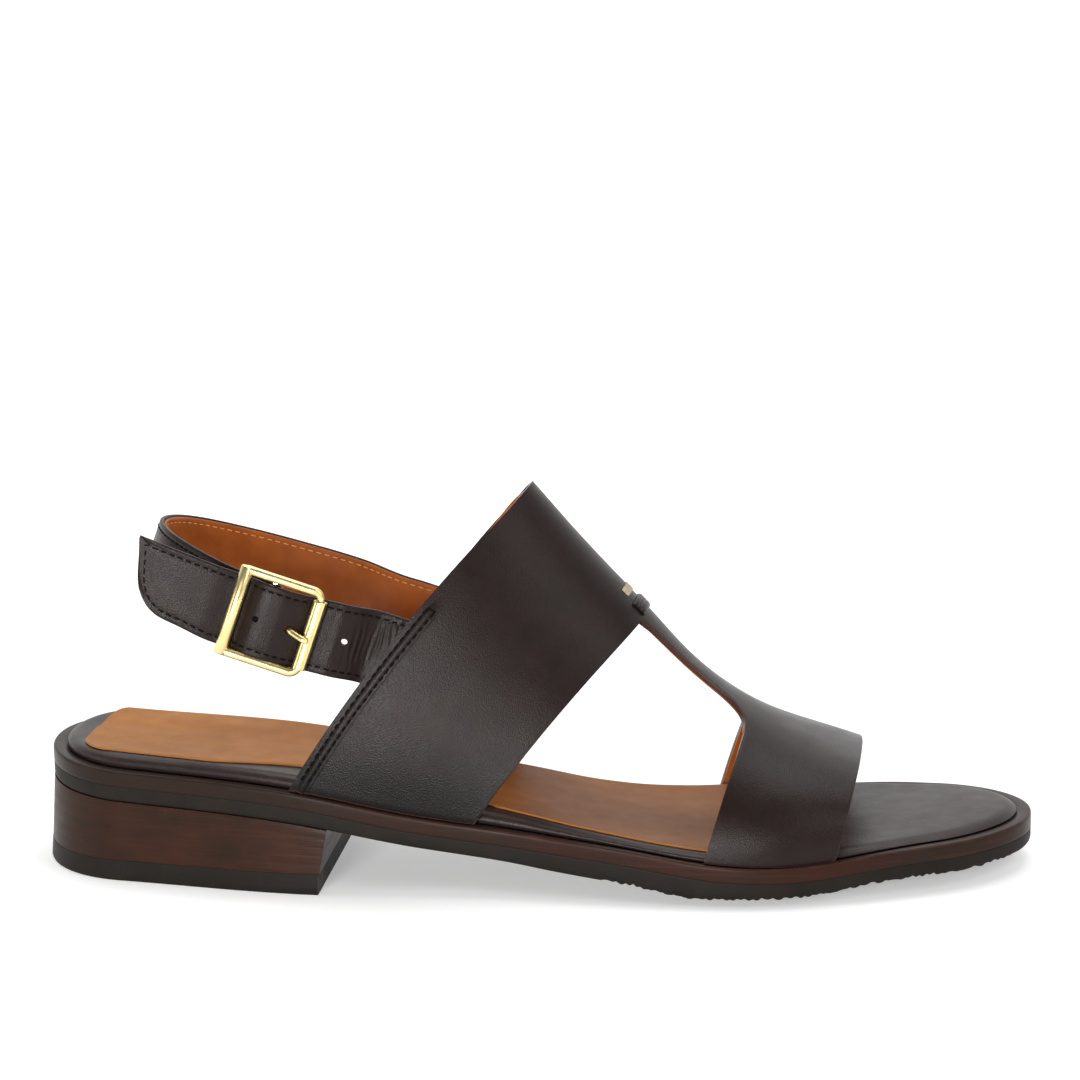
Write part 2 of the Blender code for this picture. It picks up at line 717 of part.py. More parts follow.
def build_straps(shop, frame):
    """The sling round the heel, and the punched strap that fastens it."""
    depths = (9.0, 4.5, 0.0, -4.0)
    ends, leans = tucked(1, depths, SKIVED + 0.3)
    bar = from_line(CENTRE_BAR, CENTRE_DROP)
    radius = CENTRE_RADIUS + 0.15 + FOLDED / 2
    fold = []
    for degrees in (-90, -45, 0, 45, 90, 135):
        turn = math.radians(degrees)
        fold.append(PlanPoint(bar.along + radius * math.cos(turn), bar.across - radius * math.sin(turn)))
    loop = path_through(ends + SLING_PLAN[1:], 3.2)
    run_in = path_through([loop[-2], loop[-1], fold[0]], 1.2)
    turn_points = path_through(fold, 0.75)
    plan = np.concatenate([loop[:-1], run_in[2:-1], turn_points])
    thin = len(turn_points) + 3
    taper = np.linspace(STRAP, FOLDED, 6)
    thickness = np.concatenate([np.full(len(plan) - thin - 6, STRAP), taper, np.full(thin, FOLDED)])
    thickness[:9] = np.linspace(SKIVED, STRAP, 9)
    half = np.full(len(plan), STRAP_WIDTH / 2)
    lean = leans_along(plan, ends, leans, 26.0)
    sling = ribbon(shop, "sling_strap", plan, (half, half), thickness, lean, frame, across=4)
    slot = box(shop, "prong_slot", (7.4, 9.0, 3.4), (bar.along + 0.7, bar.across, 0.0), frame)
    shop.boolean(sling, slot, "DIFFERENCE")

    ends, leans = tucked(-1, depths, STRAP)
    tip = STRAP_LINE[-1].along
    places = np.concatenate([np.arange(tip, 28, 2.4), np.arange(28.0, 58, 1.15)])
    lifts = along(WEAVE, "lift", places)
    woven = [from_line(a, lift) for a, lift in zip(places, lifts)]
    plan = path_through(ends + woven[::-1], 1.9)
    from_tip = np.abs(plan[:, 0] - tip)
    high = np.full(len(plan), STRAP_WIDTH / 2)
    low = along(TIP, "depth", from_tip) - high
    lean = leans_along(plan, ends, leans, 14.0)
    punched = ribbon(shop, "buckle_strap", plan, (low, high), np.full(len(plan), STRAP), lean, frame, across=4)
    for k in range(4):
        place = HOLE_FIRST + k * HOLE_PITCH
        wide = PRONG_HOLE if k == 1 else HOLE
        hole = rod(shop, f"hole_{k}", wide / 2, 12.0, (place, float(strap_line(place)), 0.0), frame)
        hole.rotation_euler = (math.radians(90), 0, 0)
        shop.boolean(punched, hole, "DIFFERENCE")


def box(shop, name, size, centre, frame):
    """A box cutter in the straps' frame."""
    bm = bmesh.new()
    bmesh.ops.create_cube(bm, size=1.0)
    bmesh.ops.scale(bm, vec=Vector(size) * MM, verts=bm.verts)
    thing = shop.cutter(name, mesh_from(bm, name))
    thing.parent = frame
    thing.location = Vector(centre) * MM
    return thing


def rod(shop, name, radius, length, centre, frame, sides=16):
    """A round cutter in the straps' frame, along its own Z."""
    bm = bmesh.new()
    bmesh.ops.create_cone(
        bm,
        cap_ends=True,
        segments=sides,
        radius1=radius * MM,
        radius2=radius * MM,
        depth=length * MM,
    )
    thing = shop.cutter(name, mesh_from(bm, name))
    thing.parent = frame
    thing.location = Vector(centre) * MM
    return thing


def wire(name, points, radii, cyclic, sides=2):
    """A closed mesh of a round wire along points of the straps' frame."""
    curve = bpy.data.curves.new(name, "CURVE")
    curve.dimensions = "3D"
    curve.bevel_depth = MM
    curve.bevel_resolution = sides
    curve.use_fill_caps = not cyclic
    spline = curve.splines.new("POLY")
    spline.points.add(len(points) - 1)
    for point, place, radius in zip(spline.points, points, radii):
        point.co = (*(Vector(place) * MM), 1.0)
        point.radius = radius
    spline.use_cyclic_u = cyclic
    thing = bpy.data.objects.new(name, curve)
    mesh = bpy.data.meshes.new_from_object(thing)
    bpy.data.objects.remove(thing)
    bpy.data.curves.remove(curve)
    bm = bmesh.new()
    bm.from_mesh(mesh)
    bmesh.ops.remove_doubles(bm, verts=bm.verts, dist=0.00001)
    bpy.data.meshes.remove(mesh)
    return mesh_from(bm, name)


def build_buckle(shop, frame):
    """Frame with a dropped centre bar, roller and prong."""
    left = from_line(LEFT_BAR, BAR_LIFT)
    right = from_line(RIGHT_BAR, ROLLER_LIFT)
    bend = 2.4
    points = []
    radii = []

    def add(share, height, radius):
        place = left.along + share * (right.along - left.along)
        points.append((place, left.across + share * (right.across - left.across), height))
        radii.append(radius)

    length = right.along - left.along
    add(0.0, -FRAME_HALF + 0.6, BAR_RADIUS)
    add(0.0, FRAME_HALF - 0.6, BAR_RADIUS)
    add(0.6 / length, FRAME_HALF, BAR_RADIUS)
    for degrees in (90, 60, 30, 0):
        turn = math.radians(degrees)
        radius = BAR_RADIUS if degrees > 30 else AXLE_RADIUS + 0.1
        add(1 - (bend - bend * math.cos(turn)) / length, FRAME_HALF - bend + bend * math.sin(turn), radius)
    add(1.0, FRAME_HALF - bend - 0.5, AXLE_RADIUS)
    add(1.0, -FRAME_HALF + bend + 0.5, AXLE_RADIUS)
    for degrees in (0, -30, -60, -90):
        turn = math.radians(degrees)
        radius = BAR_RADIUS if degrees < -30 else AXLE_RADIUS + 0.1
        add(1 - (bend - bend * math.cos(turn)) / length, -FRAME_HALF + bend + bend * math.sin(turn), radius)
    add(0.6 / length, -FRAME_HALF, BAR_RADIUS)
    body = shop.part("buckle_frame", wire("buckle_frame", points, radii, True), "buckle_gold")
    body.parent = frame

    share = (CENTRE_BAR - left.along) / length
    lip = left.across + share * (right.across - left.across)
    bar = from_line(CENTRE_BAR, CENTRE_DROP)
    post = FRAME_HALF - 0.15
    staple = [
        (bar.along, lip, -post),
        (bar.along, bar.across - 0.9, -post),
        (bar.along, bar.across, -post + 0.9),
        (bar.along, bar.across, post - 0.9),
        (bar.along, bar.across - 0.9, post),
        (bar.along, lip, post),
    ]
    centre = shop.cutter("centre_bar", wire("centre_bar", staple, [CENTRE_RADIUS] * 6, False))
    centre.parent = frame
    shop.boolean(body, centre, "UNION")

    tube = bpy.data.meshes.new("buckle_roller")
    half = FRAME_HALF - bend - 0.9
    ring = [(ROLLER_BORE, -half), (ROLLER_RADIUS, -half), (ROLLER_RADIUS, half), (ROLLER_BORE, half)]
    bm = bmesh.new()
    verts = [bm.verts.new((x * MM, 0, z * MM)) for x, z in ring]
    for k in range(4):
        bm.edges.new((verts[k], verts[(k + 1) % 4]))
    bm.to_mesh(tube)
    bm.free()
    roller = shop.part("buckle_roller", tube, "buckle_gold")
    roller.parent = frame
    roller.location = Vector((right.along, right.across, 0.0)) * MM
    turned = roller.modifiers.new("turned", "SCREW")
    turned.axis = "Z"
    turned.steps = 24
    turned.render_steps = 24
    turned.use_merge_vertices = True
    turned.merge_threshold = 0.00001
    turned.use_normal_calculate = True
    turned.use_normal_flip = True

    loop = CENTRE_RADIUS + 0.15 + PRONG_RADIUS
    path = []
    for degrees in range(250, 30, -30):
        turn = math.radians(degrees)
        path.append((bar.along + loop * math.cos(turn), bar.across - loop * math.sin(turn), 0.0))
    hole = HOLE_FIRST + HOLE_PITCH
    top = ROLLER_LIFT + ROLLER_RADIUS + PRONG_RADIUS + 0.15
    for place, lift in (
        (hole - 2.2, -1.55),
        (hole - 0.6, -1.1),
        (hole, 0.1),
        (hole + 0.3, 1.5),
        (hole + 1.2, 2.5),
        (hole + 3.0, 3.1),
        (RIGHT_BAR - 0.4, top),
        (RIGHT_BAR + 1.2, top - 0.15),
    ):
        point = from_line(place, lift)
        path.append((point.along, point.across, 0.0))
    radii = [PRONG_RADIUS] * (len(path) - 1) + [PRONG_RADIUS * 0.75]
    prong = shop.part("buckle_prong", wire("buckle_prong", path, radii, False), "buckle_gold")
    prong.parent = frame


def main():
    """Builds the sandal from the ground up."""
    for thing in list(bpy.data.objects):
        bpy.data.objects.remove(thing)
    shop = Workshop()
    build_sole(shop)
    build_upper(shop)
    frame = bpy.data.objects.new("sling_frame", None)
    frame.matrix_world = sling_frame()
    shop.helpers.objects.link(frame)
    build_straps(shop, frame)
    build_buckle(shop, frame)
    bpy.context.view_layer.update()


if __name__ == "__main__":
    main()
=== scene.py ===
"""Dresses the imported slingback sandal: leather, lining, stitches, stacked heel, buckle and studio.

Pieces are laid out in shoe millimetres: s runs from the back of the heel to the toe, y to the inner
side of the foot and z up. metres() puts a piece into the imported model's own frame.
"""

import logging
import math
from collections.abc import Callable, Sequence
from dataclasses import dataclass, field, replace
from enum import Enum
from typing import NamedTuple

import bpy
import numpy as np
from mathutils import Euler, Matrix, Vector


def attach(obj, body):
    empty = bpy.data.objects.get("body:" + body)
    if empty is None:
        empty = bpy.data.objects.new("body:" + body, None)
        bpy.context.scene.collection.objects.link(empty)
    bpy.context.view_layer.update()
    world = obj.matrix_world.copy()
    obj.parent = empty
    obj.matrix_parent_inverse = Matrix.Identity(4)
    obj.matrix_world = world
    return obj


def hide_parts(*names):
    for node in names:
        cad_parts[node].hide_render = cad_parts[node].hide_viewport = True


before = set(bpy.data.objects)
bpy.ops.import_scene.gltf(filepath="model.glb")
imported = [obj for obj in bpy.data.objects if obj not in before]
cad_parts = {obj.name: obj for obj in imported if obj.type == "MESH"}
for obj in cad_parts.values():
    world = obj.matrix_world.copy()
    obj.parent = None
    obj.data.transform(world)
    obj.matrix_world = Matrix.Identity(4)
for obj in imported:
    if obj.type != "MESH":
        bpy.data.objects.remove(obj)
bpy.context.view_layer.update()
LOG = logging.getLogger("sandal")
MM = 0.001
GAP = 0.3
Thing = bpy.types.Object
Socket = bpy.types.NodeSocket
Colour = tuple[int, int, int]
Height = Callable[[np.ndarray, np.ndarray], np.ndarray]
Ring = Callable[[float, float], tuple[np.ndarray, np.ndarray]]


class Side(Enum):
    """The two long sides of the shoe."""

    OUTER = -1
    INNER = 1


class Slot(Enum):
    """The record's material slots."""

    UPPER = "upper_leather"
    SOCK = "sock_leather"
    EDGE = "edge_brown"
    STACK = "stack_brown"
    RUBBER = "sole_rubber"
    GOLD = "buckle_gold"


class Station(NamedTuple):
    """A cross-section of the sole: plan middle, half width, rim height, thickness and tilt."""

    s: float
    centre: float
    half: float
    rim: float
    thick: float
    tilt: float


class Arch(NamedTuple):
    """An arch of the upper: feet, ridge place and height, squareness, and how far it bows back."""

    at: float
    outer: float
    inner: float
    ridge: float
    height: float
    power: float
    bow: float


class PlanPoint(NamedTuple):
    """A point of a strap's plan in the sling's frame."""

    along: float
    across: float


class Hang(NamedTuple):
    """How far the sling hangs off its plane on the buckle's side and on the far side."""

    along: float
    near: float
    far: float


class Mark(NamedTuple):
    """A value at a place along something, as its table says."""

    at: float
    value: float


class Crease(NamedTuple):
    """A crease of the punched strap: where it starts, how it slants and how deep it is."""

    start: float
    slope: float
    depth: float


class Corner(NamedTuple):
    """A corner of a layer's edge: inset from the sole's edge, lift over a base height, stretch."""

    inset: float
    lift: float
    stretch: float = 1.0


class Row(NamedTuple):
    """A ring of a layer: inset from the edge, share of the way to the spine, height, stretch."""

    inset: float
    share: float
    height: Height
    stretch: float = 1.0


def table(kind: type[NamedTuple], *rows: tuple[float, ...]) -> tuple[NamedTuple, ...]:
    """A table of named rows."""
    return tuple(kind(*row) for row in rows)


# cross-sections of the sole from heel to toe
SOLE = table(
    Station,
    (0, 8.2, 28.5, 30.9, 8.2, 0.0),
    (25, 5.5, 29.8, 29.2, 8.2, 0.0),
    (50, 1.2, 31.2, 28.3, 8.2, 0.0),
    (77, -2.8, 31.8, 25.8, 8.2, 0.0),
    (100, -3.3, 31.8, 21.0, 7.7, 0.3),
    (127, -2.5, 33.3, 16.6, 7.2, 1.1),
    (153, -2.0, 37.6, 12.2, 7.6, 1.9),
    (178, 0.2, 42.8, 8.9, 9.1, 1.2),
    (192, 1.1, 43.8, 8.6, 8.9, 0.6),
    (208, 1.9, 40.6, 9.1, 8.6, 0.3),
    (226, 2.6, 34.1, 11.2, 8.4, 0.0),
    (245, 5.2, 27.8, 12.6, 8.2, 0.0),
    (262, 6.0, 23.0, 13.3, 7.6, 0.0),
)
# arches of the upper from its back edge to its toe edge
ARCHES = table(
    Arch,
    (0, 70.5, 72.5, 129.8, 100.5, 2.00, 3.6),
    (1, 94.5, 96.0, 145.0, 82.8, 2.05, 2.9),
    (2, 118.8, 120.0, 160.2, 66.2, 2.05, 2.1),
    (3, 148.0, 149.5, 172.7, 52.5, 1.95, 0.9),
    (4, 178.6, 178.0, 188.0, 40.9, 1.95, 0.0),
    (5, 195.0, 192.5, 202.2, 33.9, 2.30, 0.0),
    (6, 211.0, 206.0, 216.8, 28.2, 2.70, 0.0),
)
# half angle of the T-bar about the ridge, by place along the arches
BAR_EDGES = table(
    Mark,
    (0.0, 15.0), (1.7, 14.0), (2.0, 13.0), (2.25, 11.0), (3.0, 9.6), (3.45, 10.4), (3.7, 12.6),
    (3.87, 16.5), (3.96, 21.5), (4.0, 27.0), (6.0, 27.0),
)
# plan of the sling round the heel
SLING_PLAN = table(
    PlanPoint,
    (54.0, 30.0), (40.0, 30.2), (24.0, 27.0), (11.6, 19.5), (4.8, 9.0), (3.0, 0.0), (5.8, -8.5),
    (12.2, -17.0), (20.0, -23.4), (28.0, -27.0), (34.0, -28.2),
)
# plan of the punched strap from its tip, before it weaves
STRAP_LINE = table(
    PlanPoint,
    (2.8, -32.4), (16.0, -33.2), (28.0, -33.2), (40.0, -32.7), (52.0, -31.6), (62.0, -29.6),
    (72.0, -28.2),
)
# how far the punched strap stands off its line as it goes through the buckle
WEAVE = table(
    Mark,
    (2.8, 1.1), (24.0, 0.0), (29.5, -1.0), (32.2, -1.3), (34.6, -0.7), (37.4, 0.9), (39.6, 1.3),
    (42.4, 1.2), (46.0, 0.3), (50.0, -1.1), (52.6, -1.3), (56.0, -0.9), (61.0, 0.0), (90.0, 0.0),
)
# how far the sling hangs off its plane, by place along it
HANG = table(
    Hang,
    (0.0, -0.6, 0.7), (14.0, -1.1, 0.9), (30.0, -1.7, 1.5), (46.0, -1.7, 2.3), (60.0, -0.7, 3.1),
    (76.0, -0.2, 3.9), (100.0, 0.0, 4.4),
)
# how deep the punched strap reaches below its top edge, by distance from its tip
TIP = table(
    Mark,
    (0.0, 0.8), (1.0, 4.2), (2.9, 11.0), (4.0, 13.2), (5.2, 14.8), (7.9, 17.0), (11.0, 18.1),
    (17.0, 18.6), (26.0, 19.4), (200.0, 19.4),
)
# thickness of the footbed from heel to toe
FOOTBED = table(
    Mark,
    (0, 3.3), (50, 3.2), (75, 3.3), (115, 3.3), (130, 2.8), (146, 2.0), (162, 1.7), (180, 1.9),
    (205, 2.3), (230, 1.2), (250, 1.0), (262, 0.9),
)
# depth of the footbed's dish, which turns into a crown at the toe
HEEL_DISH = table(
    Mark,
    (0, 1.0), (40, 1.2), (90, 0.9), (130, 0.2), (190, 0.0), (225, -0.8), (262, -0.8),
)
# how much further in the sock's outer edge runs beside the arch
SOCK_WAIST = table(
    Mark,
    (0, 0.0), (44, 0.2), (56, 3.6), (66, 6.6), (74, 8.0), (92, 8.0), (112, 4.5), (130, 0.8),
    (142, 0.0),
)
# share of the forefoot's camber
CAMBER = table(
    Mark,
    (0, 0.0), (135, 0.0), (168, 1.0), (215, 1.0), (250, 0.0), (262, 0.0),
)
# share by which the footbed's edge is softer towards the toe
TOE_SOFTNESS = table(
    Mark,
    (150, 0.0), (180, 0.2), (215, 0.8), (240, 1.0),
)
# creases of the punched strap where it leaves the upper
CREASES = table(
    Crease,
    (11.6, 0.8, 0.26), (13.4, 0.85, 0.44), (15.0, 0.8, 0.34), (16.9, 0.9, 0.38),
    (18.8, 0.8, 0.26), (20.6, 0.9, 0.2), (22.6, 0.8, 0.12),
)
# lower corners of the outsole, from its bottom
OUTSOLE_FOOT = table(
    Corner,
    (0.5, 0.12), (0.2, 0.5),
)
# upper corners of the outsole, from its top
OUTSOLE_HEAD = table(
    Corner,
    (0.08, -0.1), (0.16, 0.0), (2.0, 0.0),
)
# lower corners of the midsole, from its bottom
WELT_FOOT = table(
    Corner,
    (2.0, 0.0), (0.14, 0.0), (0.04, 0.1), (0.02, 0.5), (0.0, 1.2),
)
# upper corners of the midsole, from its rim
WELT_HEAD = table(
    Corner,
    (0.0, -2.0), (0.0, -1.1), (0.04, -0.5), (0.18, -0.18), (0.45, -0.04), (0.8, 0.0), (2.2, 0.02),
    (3.2, -0.06), (3.8, -0.3), (8.0, -0.3),
)


def column(rows: Sequence[NamedTuple], name: str) -> np.ndarray:
    """One named column of a table."""
    return np.array([getattr(row, name) for row in rows], float)


def run_of(points: np.ndarray) -> np.ndarray:
    """Distance along a line of points, from 0 at the first."""
    steps = np.linalg.norm(np.diff(points, axis=0), axis=1)
    return np.concatenate([[0.0], np.cumsum(steps)])


def hermite(
    t: np.ndarray, step: np.ndarray, k: np.ndarray, values: np.ndarray, slopes: np.ndarray
) -> np.ndarray:
    """A cubic from each point to the next.

    Args:
        t: share of the way from point k to the next.
        step: distance between the two points.
        k: index of the point before each place.
        values: values of the points.
        slopes: slopes at the points.

    Returns:
        The cubic's value at each place.
    """
    start = (2 * t**3 - 3 * t**2 + 1) * values[k] + (t**3 - 2 * t**2 + t) * step * slopes[k]
    return start + (3 * t**2 - 2 * t**3) * values[k + 1] + (t**3 - t**2) * step * slopes[k + 1]


def monotone(at: np.ndarray, xs: Sequence[float], ys: Sequence[float]) -> np.ndarray:
    """A smooth curve through points that never overshoots them.

    Args:
        at: places to read the curve.
        xs: rising places of the points.
        ys: values of the points.

    Returns:
        The curve's value at each place.
    """
    at, xs, ys = (np.asarray(v, float) for v in (at, xs, ys))
    steps = np.diff(xs)
    slopes = np.diff(ys) / steps
    tangents = np.concatenate([slopes[:1], np.zeros(len(xs) - 2), slopes[-1:]])
    for i in range(1, len(xs) - 1):
        before, after = slopes[i - 1], slopes[i]
        if before * after > 0:
            w1 = 2 * steps[i] + steps[i - 1]
            w2 = steps[i] + 2 * steps[i - 1]
            tangents[i] = (w1 + w2) / (w1 / before + w2 / after)
    i = np.clip(np.searchsorted(xs, at) - 1, 0, len(steps) - 1)
    t = (np.clip(at, xs[0], xs[-1]) - xs[i]) / steps[i]
    return hermite(t, steps[i], i, ys, tangents)


def fair(rows: Sequence[NamedTuple], name: str, at: np.ndarray) -> np.ndarray:
    """A column of a table as a natural cubic curve along its first column.

    Args:
        rows: the table.
        name: the column's name.
        at: places to read it.

    Returns:
        The curve's value at each place.
    """
    at = np.asarray(at, float)
    xs = np.array([row[0] for row in rows], float)
    ys = column(rows, name)
    steps = np.diff(xs)
    count = len(xs)
    system = np.eye(count)
    right = np.zeros(count)
    for i in range(1, count - 1):
        system[i, i - 1 : i + 2] = steps[i - 1], 2 * (steps[i - 1] + steps[i]), steps[i]
        right[i] = 6 * ((ys[i + 1] - ys[i]) / steps[i] - (ys[i] - ys[i - 1]) / steps[i - 1])
    bend = np.linalg.solve(system, right)
    i = np.clip(np.searchsorted(xs, at) - 1, 0, count - 2)
    step = steps[i]
    before = np.clip(at, xs[0], xs[-1]) - xs[i]
    after = step - before
    value = (bend[i] * after**3 + bend[i + 1] * before**3) / (6 * step)
    value += (ys[i] / step - bend[i] * step / 6) * after
    return value + (ys[i + 1] / step - bend[i + 1] * step / 6) * before


def steady(rows: Sequence[NamedTuple], name: str, at: np.ndarray) -> np.ndarray:
    """A column of a table as a curve that never overshoots its points."""
    return monotone(at, [row[0] for row in rows], column(rows, name))


def above(base: Height, lift: float) -> Height:
    """A height a distance over another."""
    return lambda s, y: base(s, y) + lift


def edge_rows(base: Height, corners: Sequence[Corner]) -> list[Row]:
    """Rings of a layer's edge, with corners measured from a base height."""
    return [Row(c.inset, 0, above(base, c.lift), c.stretch) for c in corners]


def bell(distance: np.ndarray, width: float) -> np.ndarray:
    """A soft bump of height 1 at distance 0."""
    return np.exp(-((np.asarray(distance) / width) ** 2))


def linear(colour: Colour) -> tuple[float, float, float, float]:
    """An sRGB colour of 0 to 255 as a shader's linear colour."""
    share = np.array(colour) / 255
    value = np.where(share > 0.04045, ((share + 0.055) / 1.055) ** 2.4, share / 12.92)
    return (*map(float, value), 1.0)


@dataclass(frozen=True)
class Last:
    """The foot form that every piece follows: sole outline, heights and arches of the upper."""

    length: float = 262.0
    end_round: float = 24.0
    round_power: float = 2.15
    ledge: float = 3.9
    camber_rise: float = 1.3
    camber_flat: float = 0.4
    ridge_y: float = 3.5
    wall: float = 2.2
    foot_clear: float = 0.3
    heel_flare: float = 1.0
    inner_bow: float = 0.45
    plan_step: float = 0.05
    angle_step: float = 0.3
    place_step: float = 0.01

    def middle(self) -> tuple[float, float, float]:
        """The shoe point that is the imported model's origin."""
        s = self.stations(400)
        y = (self.outline(s, Side.OUTER).min() + self.outline(s, Side.INNER).max()) / 2
        return ((self.length - self.heel_flare) / 2, float(y), 0.0)

    def stations(self, count: int) -> np.ndarray:
        """Places from heel to toe, closer together at the rounded ends."""
        return self.length * (1 - np.cos(np.pi * np.arange(count + 1) / count)) / 2

    def rounding(self, distance: np.ndarray, length: float) -> np.ndarray:
        """How much of the full width is left at a distance from a rounded end."""
        u = np.clip(1 - np.asarray(distance, float) / length, 0, 1)
        return (1 - u**self.round_power) ** (1 / self.round_power)

    def outline(self, s: np.ndarray, side: Side) -> np.ndarray:
        """The sole's plan edge at stations s."""
        ends = self.rounding(s, self.end_round) * self.rounding(self.length - s, self.end_round)
        return fair(SOLE, "centre", s) + side.value * fair(SOLE, "half", s) * ends

    def edge(self, s: np.ndarray, side: Side, inset: float) -> np.ndarray:
        """The plan edge moved inwards along its normals.

        Args:
            s: stations.
            side: which long side.
            inset: how far inwards, in millimetres.

        Returns:
            One plan point per station.
        """
        s = np.asarray(s, float)
        low = np.clip(s - self.plan_step, 0, self.length)
        high = np.clip(s + self.plan_step, 0, self.length)
        ds = high - low
        dy = self.outline(high, side) - self.outline(low, side)
        run = np.hypot(ds, dy)
        back, front = s < 1e-9, s > self.length - 1e-9
        normal_s = np.where(back, 1.0, np.where(front, -1.0, side.value * dy / run))
        normal_y = np.where(back | front, 0.0, -side.value * ds / run)
        return np.stack([s + inset * normal_s, self.outline(s, side) + inset * normal_y], axis=-1)

    def camber(self, s: np.ndarray, y: np.ndarray) -> np.ndarray:
        """How far the forefoot's sides lift off the ground."""
        share = steady(CAMBER, "value", s)
        place = np.abs(y - fair(SOLE, "centre", s)) / fair(SOLE, "half", s)
        beyond = np.clip(place - self.camber_flat, 0, 1) / (1 - self.camber_flat)
        return self.camber_rise * share * beyond**2

    def rim(self, s: np.ndarray, y: np.ndarray) -> np.ndarray:
        """Height of the midsole's top."""
        place = (fair(SOLE, "centre", s) - y) / fair(SOLE, "half", s)
        return fair(SOLE, "rim", s) + self.camber(s, y) + fair(SOLE, "tilt", s) * place

    def under(self, s: np.ndarray, y: np.ndarray) -> np.ndarray:
        """Height of the outsole's bottom without its tread."""
        return np.maximum(fair(SOLE, "rim", s) - fair(SOLE, "thick", s), 0.0) + self.camber(s, y)

    def foot(self, s: np.ndarray, y: np.ndarray, face: np.ndarray) -> np.ndarray:
        """Points where the arches stand on a ledge, clear of the rim under the whole wall."""
        z = np.maximum(self.rim(s, y), self.rim(s, face)) + self.foot_clear
        return np.stack([s, y, z], axis=-1)

    def arch(self, at: np.ndarray, angle: np.ndarray) -> np.ndarray:
        """Points of the foot form under the upper.

        Args:
            at: places along the arches, 0 at the back edge and 6 at the toe edge.
            angle: degrees over the foot, 0 at the outer ledge and 180 at the inner one.

        Returns:
            Points with a last axis of three, in shoe millimetres.
        """
        at, angle = np.broadcast_arrays(np.asarray(at, float), np.asarray(angle, float))
        outer_s, inner_s = fair(ARCHES, "outer", at), fair(ARCHES, "inner", at)
        power = 2 / fair(ARCHES, "power", at)
        clear = self.ledge - GAP
        outer_y = self.outline(outer_s, Side.OUTER) + clear
        inner_y = self.outline(inner_s, Side.INNER) - clear
        outer = self.foot(outer_s, outer_y, outer_y - self.wall)
        inner = self.foot(inner_s, inner_y, inner_y + self.wall)
        share = (self.ridge_y - outer_y) / (inner_y - outer_y)
        base = outer + share[..., None] * (inner - outer)
        base[..., 0] = np.where(angle < 90, outer_s, inner_s)
        height = fair(ARCHES, "height", at)
        ridge_y = np.full_like(height, self.ridge_y)
        ridge = np.stack([fair(ARCHES, "ridge", at), ridge_y, height], axis=-1)
        foot = np.where((angle < 90)[..., None], outer, inner)
        level = np.abs(np.cos(np.radians(angle))) ** power
        rise = np.abs(np.sin(np.radians(angle))) ** power
        points = base + level[..., None] * (foot - base) + rise[..., None] * (ridge - base)
        bow = fair(ARCHES, "bow", at) * np.where(angle < 90, 1.0, self.inner_bow)
        points[..., 0] -= bow * 4 * rise * (1 - rise)
        return points

    def skin(self, at: np.ndarray, angle: np.ndarray, lift: np.ndarray | float) -> np.ndarray:
        """Points a distance outside the foot form.

        Args:
            at: places along the arches.
            angle: degrees over the foot.
            lift: distance along the outward normal, in millimetres.

        Returns:
            Points in shoe millimetres.
        """
        at, angle = np.broadcast_arrays(np.asarray(at, float), np.asarray(angle, float))
        inside = np.clip(angle, 0.4, 179.6)
        over = self.arch(at, inside + self.angle_step) - self.arch(at, inside - self.angle_step)
        ahead = np.minimum(at + self.place_step, ARCHES[-1].at)
        behind = np.maximum(at - self.place_step, ARCHES[0].at)
        forward = self.arch(ahead, inside) - self.arch(behind, inside)
        normal = np.cross(forward, over)
        normal /= np.linalg.norm(normal, axis=-1, keepdims=True)
        return self.arch(at, angle) + normal * np.asarray(lift, float)[..., None]

    def across_mm(self, at: float, angle: float, distance: float) -> float:
        """The place along the arches that lies a distance in front of another at one angle."""
        run = self.arch(at + self.plan_step, angle) - self.arch(at, angle)
        return at + distance * self.plan_step / float(np.linalg.norm(run))


LAST = Last()
MIDDLE = LAST.middle()


def metres(points: np.ndarray) -> np.ndarray:
    """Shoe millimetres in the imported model's frame."""
    return (np.asarray(points, float) - MIDDLE) * MM


